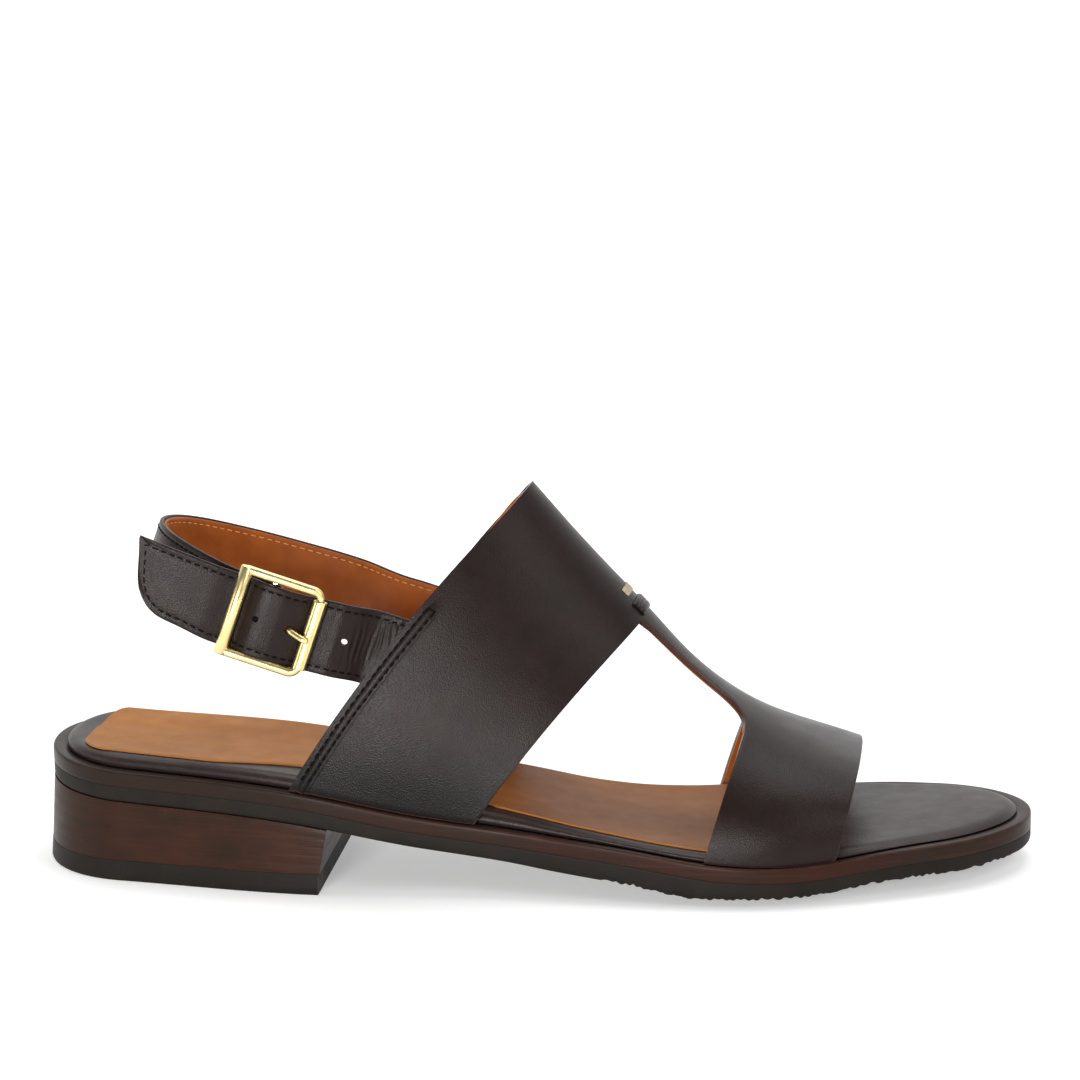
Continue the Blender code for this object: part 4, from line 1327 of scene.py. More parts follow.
@dataclass
class Footbed(Piecework):
    """The padded footbed wrapped in dark leather, and the tan sock glued on it."""

    sock_inset: float = 4.2
    sock: float = 0.6
    sock_end: float = 197.0
    sock_back: float = 10.9
    sock_slant: float = 0.03
    sock_round: float = 17.0
    roll: float = 3.4
    # share of painted shade at the sock's front
    sock_painted_shade: float = 0.6

    @staticmethod
    def sock_waist(s: np.ndarray) -> np.ndarray:
        """How much further in the sock's outer edge runs beside the arch."""
        return steady(SOCK_WAIST, "value", s)

    def top(self, s: np.ndarray, y: np.ndarray) -> np.ndarray:
        """Height of the footbed's top, dished under the heel."""
        across = (y - fair(SOLE, "centre", s)) / fair(SOLE, "half", s)
        dish = steady(HEEL_DISH, "value", s)
        bowl = np.maximum(-0.1, 1 - across**2 / 0.8)
        return self.last.rim(s, y) + GAP + steady(FOOTBED, "value", s) - dish * bowl

    def build(self) -> None:
        """Models footbed and sock."""
        self.build_bed()
        self.build_sock()

    def build_bed(self) -> None:
        """Models the padded footbed with its rolled edge."""
        last, ledge = self.last, self.last.ledge

        def side(firm: float, soft: float) -> Height:
            """A height on the footbed's side, as a share of its thickness at heel and toe."""

            def height(s: np.ndarray, y: np.ndarray) -> np.ndarray:
                """Height of the side."""
                share = firm + (soft - firm) * steady(TOE_SOFTNESS, "value", s)
                low = last.rim(s, y) + GAP * 0.3
                return low + share * (self.top(s, y) - low)

            return height

        rows = [Row(ledge + 0.3, share, side(0, 0)) for share in (1, 0)]
        rows += [Row(ledge + 0.06, 0, side(0.1, 0.06))]
        for turn in np.radians(np.arange(0, 91, 11.25)):
            reach = self.roll * (1 - math.cos(turn))
            firm = 0.3 + 0.7 * math.sin(turn)
            soft = 0.14 + 0.86 * (1 - (1 - reach / self.roll) ** 2)
            rows.append(Row(ledge + reach, 0, side(firm, soft)))
        shares = (0.0, 0.12, 0.25, 0.4, 0.55, 0.7, 0.85, 1.0)
        rows += [Row(ledge + 4.6, share, self.top) for share in shares]
        bed = self.layer("padded_footbed", self.whole_ring(last.stations(200)), rows)
        self.give(bed, self.finishes.footbed, Slot.UPPER, ["footbed"], 60.0)

    def build_sock(self) -> None:
        """Models the tan sock with its squared heel end and painted shade over its front."""

        def laid(lift: float) -> Height:
            """A height over the footbed, with soft ripples where the glue let go near the heel."""

            def height(s: np.ndarray, y: np.ndarray) -> np.ndarray:
                """Height of the sock."""
                fade = bell(s - 38.0, 30.0) * lift / self.sock
                ripple = 0.16 * np.sin(0.33 * y + 0.05 * s) * bell(y - 14.0, 12.0)
                ripple += 0.12 * np.sin(0.22 * (s - 20.0) + 0.16 * y) * bell(y + 2.0, 18.0)
                return self.top(s, y) + GAP * 0.3 + lift + fade * ripple

            return height

        inset, thick = self.last.ledge + self.sock_inset, self.sock
        stations = self.sock_end * (1 - np.cos(np.pi / 2 * np.arange(141) / 140))
        rows = [Row(inset + 0.1, share, laid(0)) for share in (1, 0)]
        rows += [Row(inset, 0, laid(0.2)), Row(inset + 0.02, 0, laid(thick * 0.75))]
        rows += [Row(inset + 0.2, 0, laid(thick * 0.95))]
        shares = (0.0, 0.06, *np.linspace(0.15, 1.0, 12))
        rows += [Row(inset + 0.6, share, laid(thick)) for share in shares]
        square = Footbed(self.finishes, replace(self.last, end_round=self.sock_round))
        ring = square.cut_ring(stations, 40, self.sock_back, self.sock_slant, self.sock_waist)
        sock = self.layer("tan_sock_lining", ring, rows)
        s, y, z = Bench.shoe_points(sock).T
        # Painted shade: the sock darkens from station 80 to 135 and stays darker forward, for the
        # upper's shade over the forefoot.
        Bench.note(sock, "worn", self.sock_painted_shade * np.clip((s - 80) / 55, 0, 1))
        Bench.note(sock, "cut", (z < laid(thick * 0.97)(s, y)) * 1.0)
        self.give(sock, self.finishes.sock, Slot.SOCK, ["sock_lining"], 45.0)


@dataclass
class Upper(Piecework):
    """Instep strap, T-bar and forefoot strap: dark leather over a tan lining, with its seams."""

    lining: float = 0.8
    leather: float = 1.35
    glue: float = 0.05
    side_columns: int = 48
    bar_columns: int = 14
    edge_zone: float = 0.22
    bar_from: float = 1.96
    crown_at: float = 66.0
    crown_width: float = 9.0
    cord_at: float = 0.116
    groove_at: tuple[float, float] = (0.074, 0.16)
    # Painted shade on the upper's lower part: its full height over the rim and the station where it
    # ends.
    painted_shade_height: float = 21.0
    painted_shade_to: float = 150.0
    fold_at: tuple[float, float] = (1.79, 1.96)
    fold_half: float = 9.5
    tab_at: tuple[float, float] = (1.57, 1.68)
    tab_half: float = 7.5
    lining_shows: float = 0.01
    lining_shy: float = 0.024
    lining_inset: float = 1.8
    seam_rows: tuple[float, float] = (1.7, 3.7)
    seam_top: float = 40.0
    stitch_pitch: float = 2.3

    def places(self) -> tuple[np.ndarray, int, int]:
        """Rows along the foot, and the first and last row of the windows."""
        edge = np.linspace(0, self.edge_zone, 34)
        instep = np.linspace(self.edge_zone, self.bar_from, 38)[1:]
        front = np.linspace(self.bar_from, 2.0, 3)[1:]
        bar = 2 + 2 * (1 - (1 - np.linspace(0, 1, 64)) ** 1.35)
        forefoot = np.linspace(4, 6, 36)
        rows = np.concatenate([edge, instep, front, bar[1:], forefoot[1:]])
        first = len(edge) + len(instep) + len(front) - 1
        return rows, first, first + len(bar) - 1

    def angles(self, at: float, inset: float) -> np.ndarray:
        """Column angles at a place along the foot, with the T-bar narrower by an inset."""
        half = float(steady(BAR_EDGES, "value", at)) - inset
        low = (90 - half) * np.linspace(0, 1, self.side_columns + 1)
        bar = np.linspace(90 - half, 90 + half, self.bar_columns + 1)
        return np.concatenate([low, bar[1:], 180 - low[::-1][1:]])

    def relief(self, at: np.ndarray, angle: np.ndarray) -> np.ndarray:
        """Soft forms of the leather: the corded seam at the back edge and a few slack places."""
        side = np.minimum(angle, 180 - angle)
        seam = np.clip((self.seam_top + 2 - side) / 3, 0, 1)
        cord = 0.3 * bell(at - self.cord_at, 0.026)
        cord = cord - sum(0.1 * bell(at - groove, 0.016) for groove in self.groove_at)
        step = 0.2 * np.clip((0.2 - at) / 0.03, 0, 1)
        ball = 0.12 * bell(at - 4.6 - 0.005 * side, 0.35) * bell(side - 38.0, 26.0)
        return seam * (cord + step) - ball

    def shell(self, name: str, low: float, thickness: float, formed: float) -> Thing:
        """A layer of the upper.

        Args:
            name: the object's name.
            low: distance of its inner face from the foot form.
            thickness: its own thickness.
            formed: how strongly it takes the leather's soft forms.

        Returns:
            The layer, closed.
        """
        rows, first, final = self.places()
        at = np.repeat(rows[:, None], 2 * self.side_columns + self.bar_columns + 1, axis=1)
        angle = np.stack([self.angles(a, (1 - formed) * self.lining_inset) for a in rows])
        crown = bell(np.minimum(angle, 180 - angle) - self.crown_at, self.crown_width)
        shift = formed * self.lining_shows * crown + (1 - formed) * self.lining_shy * (1 - crown)
        at = at + shift * np.clip(1 - at / self.edge_zone, 0, 1)
        points = self.last.skin(at, angle, low + formed * self.relief(at, angle))
        thing = Bench.sheet(name, points)
        columns = points.shape[1] - 1

        def windows(index: np.ndarray) -> np.ndarray:
            """Faces beside the T-bar, by their row and column."""
            i, j = index // columns, index % columns
            beside = (j < self.side_columns) | (j >= self.side_columns + self.bar_columns)
            return (i >= first) & (i < final) & beside

        Bench.drop(thing, windows)
        Bench.outwards(thing)
        Bench.mark_rim(thing)
        Bench.thicken(thing, thickness, 0.28, True)
        return thing

    def build(self) -> None:
        """Models leather, lining, the folded end of the T-bar and the seams."""
        shell = self.shell("upper_leather_shell", self.lining + self.glue, self.leather, 1.0)
        s, y, z = Bench.shoe_points(shell).T
        # Painted shade: darkens the lower part, fully up to 8 mm over the rim and none above 21 mm,
        # fading out from station 130 to 150.
        low = np.clip((self.painted_shade_height - z + self.last.rim(s, y)) / 13, 0, 1)
        Bench.note(shell, "worn", low * np.clip((self.painted_shade_to - s) / 20, 0, 1))
        self.give(shell, self.finishes.upper, Slot.UPPER, ["upper"], 45.0)
        lining = self.shell("upper_tan_lining", 0.0, self.lining, 0.0)
        self.give(lining, self.finishes.lining, Slot.SOCK, (), 45.0)
        self.build_fold()
        self.build_seams()

    def patch(
        self, name: str, at: tuple[float, float], half: float, lift: Height, thickness: float
    ) -> Thing:
        """A small piece of leather lying on the upper across the ridge.

        Args:
            name: the object's name.
            at: where it starts and ends along the foot.
            half: half its width as an angle about the ridge.
            lift: height of its underside over the leather, from its share along and across.
            thickness: its own thickness.

        Returns:
            The piece, closed.
        """
        along, across = np.meshgrid(np.linspace(0, 1, 25), np.linspace(-1, 1, 25), indexing="ij")
        height = self.last.wall + lift(along, across)
        points = self.last.skin(at[0] + along * (at[1] - at[0]), 90 + half * across, height)
        thing = Bench.sheet(name, points)
        Bench.outwards(thing)
        Bench.thicken(thing, thickness, 0.25, False)
        return thing

    def build_fold(self) -> None:
        """Models the ribbed fold that ties the T-bar to the instep strap, and the tab behind it."""

        def ribs(along: np.ndarray, across: np.ndarray) -> np.ndarray:
            """Three ribs with grooves between them."""
            ridges = np.abs(np.sin(3 * np.pi * along)) ** 0.5
            return 0.02 + 0.42 * ridges - 0.3 * np.abs(across) ** 6

        fold = self.patch("bar_fold", self.fold_at, self.fold_half, ribs, 0.5)
        self.give(fold, self.finishes.upper, Slot.UPPER)

        def bent(along: np.ndarray, across: np.ndarray) -> np.ndarray:
            """A plain tab with its sides bent down."""
            return 0.02 - 0.2 * across**6

        tab = self.patch("bar_tab", self.tab_at, self.tab_half, bent, 0.35)
        self.give(tab, self.finishes.tab, Slot.SOCK)

    def build_seams(self) -> None:
        """Sews two rows beside the back edge on both sides, with a bar across their top."""
        top = self.lining + self.leather + self.glue
        places = []
        for side in Side:
            ends = []
            for distance in self.seam_rows:
                angles = np.linspace(2.0, self.seam_top, 300)
                at = np.array([self.last.across_mm(0.0, a, distance) for a in angles])
                turned = angles if side is Side.OUTER else 180 - angles
                line = self.last.skin(at, turned, top + self.relief(at, turned) + 0.12)
                above = self.last.skin(at, turned, top + 3.0)
                places += stitches(line, above - line, self.stitch_pitch)
                ends.append((line[-1], (above - line)[-1]))
            bar = np.linspace(ends[0][0], ends[1][0], 30)
            places += stitches(bar, np.repeat(ends[0][1][None], 30, axis=0), 1.0)
        seams = Bench.copies("upper_stitches", stitch_model(1.55, 0.36), places)
        self.give(seams, self.finishes.dark_thread, Slot.UPPER)


def stitch_model(length: float, radius: float) -> Thing:
    """One stitch along X: a small round bead drawn out to its length, in millimetres."""
    Bench.clear()
    bpy.ops.mesh.primitive_uv_sphere_add(
        segments=8, ring_count=6, radius=radius * MM, rotation=(0, math.pi / 2, 0)
    )
    thing = Bench.named("stitch")
    bpy.ops.object.transform_apply(location=True, rotation=True, scale=True)
    for vert in thing.data.vertices:
        if abs(vert.co.x) > 1e-7:
            vert.co.x += math.copysign((length / 2 - radius) * MM, vert.co.x)
    return thing


def stitches(line: np.ndarray, outwards: np.ndarray, pitch: float) -> list[Matrix]:
    """Places of stitches along a line.

    Args:
        line: points in shoe millimetres.
        outwards: a direction away from the leather at each point.
        pitch: distance from one stitch to the next.

    Returns:
        One matrix per stitch, in metres.
    """
    run = run_of(line)
    count = max(int(run[-1] / pitch), 1)
    reach = 0.4

    def read(values: np.ndarray, spot: float) -> np.ndarray:
        """A point of a line at a distance along it."""
        return np.array([np.interp(spot, run, values[:, k]) for k in range(3)])

    found = []
    for spot in (np.arange(count) + 0.5) * run[-1] / count:
        x = Vector(read(line, spot + reach) - read(line, spot - reach)).normalized()
        y = Vector(read(outwards, spot)).cross(x).normalized()
        turn = Matrix((x, y, x.cross(y))).transposed().to_4x4()
        found.append(Matrix.Translation(Vector(metres(read(line, spot)))) @ turn)
    return found


@dataclass
class Sling(Piecework):
    """The sling round the heel and the punched strap that the buckle holds."""

    tilt: float = 19.3
    roll: float = -5.9
    origin: tuple[float, float, float] = (27.3, 0.0, 84.0)
    width: float = 19.4
    thickness: float = 2.0
    skived: float = 1.2
    folded: float = 1.1
    hole: float = 1.7
    prong_hole: float = 2.1
    holes: int = 4
    hole_first: float = 37.7
    hole_pitch: float = 7.7
    prong_hole_index: int = 1
    prong_shift: float = 1.0
    prong_slot: tuple[float, float, float] = (7.4, 9.0, 3.4)
    blind_lift: float = 6.1
    centre_bar: float = 39.6
    centre_drop: float = -2.5
    centre_radius: float = 0.9
    wrap_gap: float = 0.15
    tuck_depths: tuple[float, ...] = (9.0, 4.5, 0.0, -4.0)
    stitch_inset: float = 1.75
    stitch_pitch: float = 2.3

    @property
    def centre(self) -> PlanPoint:
        """The middle of the buckle's centre bar."""
        return self.from_line(self.centre_bar, self.centre_drop)

    def turn(self) -> np.ndarray:
        """Rotation of the sling's frame."""
        return np.array(Euler((math.radians(self.roll), math.radians(self.tilt), 0.0)).to_matrix())

    def shoe(self, points: np.ndarray) -> np.ndarray:
        """Points of the sling's frame in shoe millimetres."""
        points = np.array(points, float)
        share = 1 / (1 + np.exp(-points[..., 1] / 4.0))
        near, far = (steady(HANG, name, points[..., 0]) for name in ("near", "far"))
        points[..., 2] += near + share * (far - near)
        return points @ self.turn().T + np.array(self.origin)

    def strap_line(self, place: np.ndarray) -> np.ndarray:
        """Where the punched strap's line runs before it weaves."""
        return steady(STRAP_LINE, "across", place)

    def from_line(self, place: float, lift: float) -> PlanPoint:
        """A plan point a distance outwards from the punched strap's line."""
        return PlanPoint(place, float(self.strap_line(place)) - lift)

    def tucked(self, side: Side, thick: float) -> tuple[list[PlanPoint], list[float]]:
        """Plan points and leans of a strap's end behind the wall at the upper's back edge.

        Args:
            side: the long side it is on.
            thick: the end's thickness.

        Returns:
            The points and how far the strap leans at each.
        """
        angles = np.linspace(8, 75, 200) if side is Side.OUTER else np.linspace(172, 105, 200)
        at, angle = np.meshgrid(np.linspace(0.0, 0.9, 90), angles, indexing="ij")
        local = (self.last.arch(at, angle).reshape(-1, 3) - np.array(self.origin)) @ self.turn()
        local = local[np.abs(local[:, 2]) < self.width / 2 + 0.5]
        start = local[np.abs(local[:, 2]) < 1.0][:, 0].min()
        found, leans = [], []
        for depth in self.tuck_depths:
            near = local[np.abs(local[:, 0] - start - depth) < (1.0 if depth >= 0 else 4.0)]
            lean, level = np.polyfit(near[:, 2], near[:, 1], 1)
            inwards = -side.value * (near[:, 1] - lean * near[:, 2] - level)
            clear = thick / 2 + GAP + 0.2 + max(inwards.max(), 0.0)
            found.append(PlanPoint(start + depth, level - side.value * clear))
            leans.append(lean)
        return found, leans

    @staticmethod
    def path_through(points: Sequence[PlanPoint], spacing: float) -> np.ndarray:
        """Evenly spaced points of a smooth curve through plan points."""
        points = np.array(points, float)
        lengths = run_of(points)
        fine = np.linspace(0, lengths[-1], 1200)
        tangents = np.gradient(points, lengths, axis=0)
        k = np.clip(np.searchsorted(lengths, fine) - 1, 0, len(lengths) - 2)
        step = (lengths[k + 1] - lengths[k])[:, None]
        t = (fine - lengths[k])[:, None] / step
        curve = hermite(t, step, k, points, tangents)
        run = run_of(curve)
        even = np.linspace(0, run[-1], int(run[-1] / spacing) + 1)
        return np.stack([np.interp(even, run, curve[:, axis]) for axis in (0, 1)], axis=-1)

    @staticmethod
    def leans_along(
        plan: np.ndarray, ends: Sequence[PlanPoint], leans: Sequence[float], reach: float
    ) -> np.ndarray:
        """The lean of a strap's end, fading out along its plan."""
        run = run_of(plan)
        inside = math.hypot(ends[0].along - ends[-1].along, ends[0].across - ends[-1].across)
        marks = [0.0, inside / 2, inside, inside + reach]
        return monotone(run, marks, [leans[0], leans[len(leans) // 2], leans[-1], 0.0])


@dataclass
class StrapForm:
    """A strap's middle sheet in the sling's frame: plan, half widths, leans and thickness."""

    sling: Sling
    plan: np.ndarray
    outside: float
    low: np.ndarray
    high: np.ndarray
    lean: np.ndarray
    thick: np.ndarray
    crease: Height

    def __post_init__(self) -> None:
        """Works out the run along the plan and its outward normals."""
        self.run = run_of(self.plan)
        tangent = np.gradient(self.plan, self.run, axis=0)
        tangent /= np.linalg.norm(tangent, axis=1, keepdims=True)
        self.normal = self.outside * np.column_stack([tangent[:, 1], -tangent[:, 0]])

    def point(self, run: np.ndarray, height: np.ndarray, depth: np.ndarray) -> np.ndarray:
        """Points of the strap in shoe millimetres.

        Args:
            run: distance along the plan.
            height: place across the strap, 0 at its middle.
            depth: place through it, -1 on the lining and 1 on the outside.

        Returns:
            Points with a last axis of three.
        """
        places = (np.asarray(v, float) for v in (run, height, depth))
        run, height, depth = np.broadcast_arrays(*places)

        def read(values: np.ndarray) -> np.ndarray:
            """A value of the plan at the run."""
            return np.interp(run, self.run, values)

        out = depth * read(self.thick) / 2 + self.crease(run, height)
        along = read(self.plan[:, 0]) + out * read(self.normal[:, 0])
        across = read(self.plan[:, 1]) + out * read(self.normal[:, 1]) + read(self.lean) * height
        return self.sling.shoe(np.stack([along, across, height], axis=-1))

    def layer(self, name: str, depths: tuple[float, float]) -> Thing:
        """One layer of the strap as a closed mesh with rounded edges.

        Args:
            name: the object's name.
            depths: inner and outer face, as shares of the half thickness.

        Returns:
            The new object.
        """
        inner, outer = depths
        curve = 0.34 * (outer - inner)
        outside, lined = outer > 0.5, inner < -0.5
        marks = np.array([0.0, 0.1, 0.32, 0.9, 1.4, 1.75, 2.1, 2.7, 4.0, 5.6, 7.4])
        faces = np.concatenate([marks, 19.0 - marks[::-1]]) / 19.0
        groove = [0, 0, 0, 0, 0.45, 1, 0.45, 0, 0, 0, 0]
        channel = np.array(groove * 2)
        drop = np.zeros(len(faces))
        drop[:2], drop[-2:] = (1.0, 0.45), (0.45, 1.0)
        upper = outer - curve * drop - 0.16 * channel * outside
        under = inner + curve * drop + 0.12 * channel * lined
        shares = np.concatenate([faces, faces[::-1]])
        depth = np.concatenate([upper, under[::-1]])
        shy = 0.35 if lined else 0.0
        low, high = self.low[:, None] - shy, self.high[:, None] - shy
        height = -low + shares[None, :] * (low + high)
        points = self.point(self.run[:, None], height, depth[None, :])
        middle = np.full((1, len(shares)), (inner + outer) / 2)
        middle = self.point(self.run[[0, -1], None], height[[0, -1]], middle)
        points = np.concatenate([middle[:1], points, middle[1:]])
        thing = Bench.sheet(name, np.concatenate([points, points[:, :1]], axis=1))
        Bench.close(thing)
        return thing


@dataclass
class Straps(Sling):
    """Builds both straps in layers, with holes and stitching."""

    def sling_form(self) -> StrapForm:
        """The sling, from the upper's inner side round the heel to its fold on the centre bar."""
        ends, leans = self.tucked(Side.INNER, self.skived + 0.3)
        bar = self.centre
        radius = self.centre_radius + self.wrap_gap + self.folded / 2
        fold = []
        for turn in map(math.radians, range(-90, 136, 15)):
            across = bar.across - radius * math.sin(turn)
            fold.append(PlanPoint(bar.along + radius * math.cos(turn), across))
        loop = self.path_through([*ends, *SLING_PLAN], 1.0)
        run_in = self.path_through([PlanPoint(*loop[-4]), PlanPoint(*loop[-1]), fold[0]], 0.6)
        first = int(np.argmin(np.hypot(*(run_in - loop[-1]).T))) + 1
        plan = np.concatenate([loop, run_in[first:-1], self.path_through(fold, 0.3)])
        run = run_of(plan)
        full, thin = 26.0, run[-1] - 9.5
        marks = [0, full, thin - 8, thin, run[-1] + 1]
        thicks = [self.skived, self.thickness, self.thickness, self.folded, self.folded]
        thick = monotone(run, marks, thicks)
        half = np.full(len(plan), self.width / 2)
        lean = self.leans_along(plan, ends, leans, full)
        return StrapForm(self, plan, 1.0, half, half, lean, thick, lambda run, height: 0.0 * run)

    def punched_form(self) -> StrapForm:
        """The punched strap, from the upper's outer side through the buckle to its tip."""
        ends, leans = self.tucked(Side.OUTER, self.thickness)
        tip = STRAP_LINE[0].along
        places = np.concatenate([np.arange(tip, 28, 2.4), np.arange(28.0, 58, 1.15)])
        lifts = steady(WEAVE, "value", places)
        woven = [self.from_line(a, lift) for a, lift in zip(places, lifts)]
        plan = self.path_through([*ends, *woven[::-1]], 0.36)
        high = np.full(len(plan), self.width / 2)
        low = steady(TIP, "value", np.abs(plan[:, 0] - tip)) - high
        lean = self.leans_along(plan, ends, leans, 14.0)

        def creases(run: np.ndarray, height: np.ndarray) -> np.ndarray:
            """Slanting creases where the strap bends out from under the upper."""
            found = np.zeros(np.broadcast(run, height).shape)
            for start, slope, depth in CREASES:
                line = run - start + slope * height + 0.3 * np.sin(0.9 * height + start)
                found += depth * (0.7 * bell(line + 0.65, 0.4) - 0.7 * bell(line, 0.4))
            return found * np.clip(1.15 - np.abs(height - 1.0) / 11.0, 0, 1)

        thick = np.full(len(plan), self.thickness)
        return StrapForm(self, plan, -1.0, low, high, lean, thick, creases)

    def build(self) -> None:
        """Models both straps, their linings, holes and seams."""
        sling, punched = self.sling_form(), self.punched_form()
        bar = self.centre
        pieces = []
        forms = ((sling, "sling", "sling_strap"), (punched, "punched", "buckle_strap"))
        for form, name, node in forms:
            leather = form.layer(f"{name}_leather", (-0.12, 1.0))
            lining = form.layer(f"{name}_lining", (-1.0, -0.2))
            pieces.append((leather, self.finishes.upper, Slot.UPPER, [node]))
            pieces.append((lining, self.finishes.lining, Slot.SOCK, []))
            if form is sling:
                for piece in (leather, lining):
                    centre = (bar.along + 0.7, bar.across, 0.0)
                    Bench.cut(piece, self.slot_cutter(self.prong_slot, centre))
            else:
                self.punch(leather, lining)
        # A dark disc of painted shade inside the first punched hole.
        pieces.append((self.hole_floor(), self.finishes.dark_thread, Slot.UPPER, []))
        for piece, finish, slot, nodes in pieces:
            self.give(piece, finish, slot, nodes, 45.0)
        self.sew(sling, punched)

    def punch(self, leather: Thing, lining: Thing) -> None:
        """Punches the holes in the leather; only the last one goes through the lining too."""
        through = self.holes - 1
        for k in range(self.holes):
            prong = k == self.prong_hole_index
            place = self.hole_first + k * self.hole_pitch + (self.prong_shift if prong else 0.0)
            wide = self.prong_hole if prong else self.hole
            lift = 0.0 if k == through else float(steady(WEAVE, "value", place)) + self.blind_lift
            centre = (*self.from_line(place, lift), 0.0)
            for piece in (leather, lining) if k == through else (leather,):
                Bench.cut(piece, self.hole_cutter(wide / 2, centre))

    def hole_floor(self) -> Thing:
        """A dark disc of painted shade at the bottom of the punched hole seen inside the buckle."""
        lift = float(steady(WEAVE, "value", self.hole_first)) + 0.16
        Bench.clear()
        radius = (self.hole / 2 - 0.02) * MM
        bpy.ops.mesh.primitive_cylinder_add(vertices=28, radius=radius, depth=0.1 * MM)
        centre = (*self.from_line(self.hole_first, lift), 0.0)
        floor = self.placed(Bench.named("hole_floor"), centre, Matrix.Rotation(math.pi / 2, 4, "X"))
        Bench.choose(floor)
        bpy.ops.object.transform_apply(location=True, rotation=True, scale=True)
        return floor

    def placed(self, thing: Thing, centre: Sequence[float], extra: Matrix) -> Thing:
        """Puts an object at a place of the sling's frame."""
        place = Matrix.Translation(Vector(metres(self.shoe(np.array(centre)))))
        thing.matrix_world = place @ Matrix(self.turn().tolist()).to_4x4() @ extra
        bpy.context.view_layer.update()
        return thing

    def slot_cutter(self, size: Sequence[float], centre: Sequence[float]) -> Thing:
        """A box that cuts the prong's slot."""
        Bench.clear()
        bpy.ops.mesh.primitive_cube_add(size=1.0)
        scale = Matrix.Diagonal((*(v * MM for v in size), 1.0))
        return self.placed(Bench.named("slot_cutter"), centre, scale)

    def hole_cutter(self, radius: float, centre: Sequence[float]) -> Thing:
        """A rod that punches a hole through the strap."""
        Bench.clear()
        bpy.ops.mesh.primitive_cylinder_add(vertices=28, radius=radius * MM, depth=12 * MM)
        return self.placed(Bench.named("hole_cutter"), centre, Matrix.Rotation(math.pi / 2, 4, "X"))

    def tip_seam(self, punched: StrapForm) -> tuple[np.ndarray, np.ndarray]:
        """The punched strap's seam: along its top, round the slanted tip and back along its bottom.

        Args:
            punched: the strap.

        Returns:
            Runs along the strap and heights across it.
        """
        end, side = punched.run[-1], self.width / 2 - self.stitch_inset
        back = np.concatenate([np.linspace(0.0, 6.0, 120), np.linspace(6.0, 23.0, 120)[1:]])
        depth = steady(TIP, "value", back)
        slope = np.gradient(depth, back)
        size = np.hypot(1.0, slope)
        run = end - back - self.stitch_inset * slope / size
        height = self.width / 2 - depth + self.stitch_inset / size
        kept = height < side - 0.3
        run, height = run[kept], height[kept]
        top = np.linspace(1.0, run[0], 300)
        low = np.linspace(run[-1] - 1.0, 1.0, 300)
        heights = np.concatenate([np.full(300, side), height, np.full(300, -side)])
        return np.concatenate([top, run, low]), heights

    def sew(self, sling: StrapForm, punched: StrapForm) -> None:
        """Sews both straps along their edges, dark outside and tan inside."""
        side = self.width / 2 - self.stitch_inset
        end = sling.run[-1] - 13.0
        seams = [(sling, np.linspace(1.0, end, 600), np.full(600, h)) for h in (-side, side)]
        seams.append((punched, *self.tip_seam(punched)))
        dark, tan = [], []
        for form, run, height in seams:
            for found, depth in ((dark, 1.0), (tan, -1.0)):
                line = form.point(run, height, depth * 0.93)
                away = form.point(run, height, depth * 4.0) - line
                found += stitches(line, away, self.stitch_pitch)
        outside = Bench.copies("strap_stitches", stitch_model(1.55, 0.24), dark)
        self.give(outside, self.finishes.dark_thread, Slot.UPPER)
        inside = Bench.copies("strap_lining_stitches", stitch_model(1.4, 0.17), tan)
        self.give(inside, self.finishes.tan_thread, Slot.SOCK)


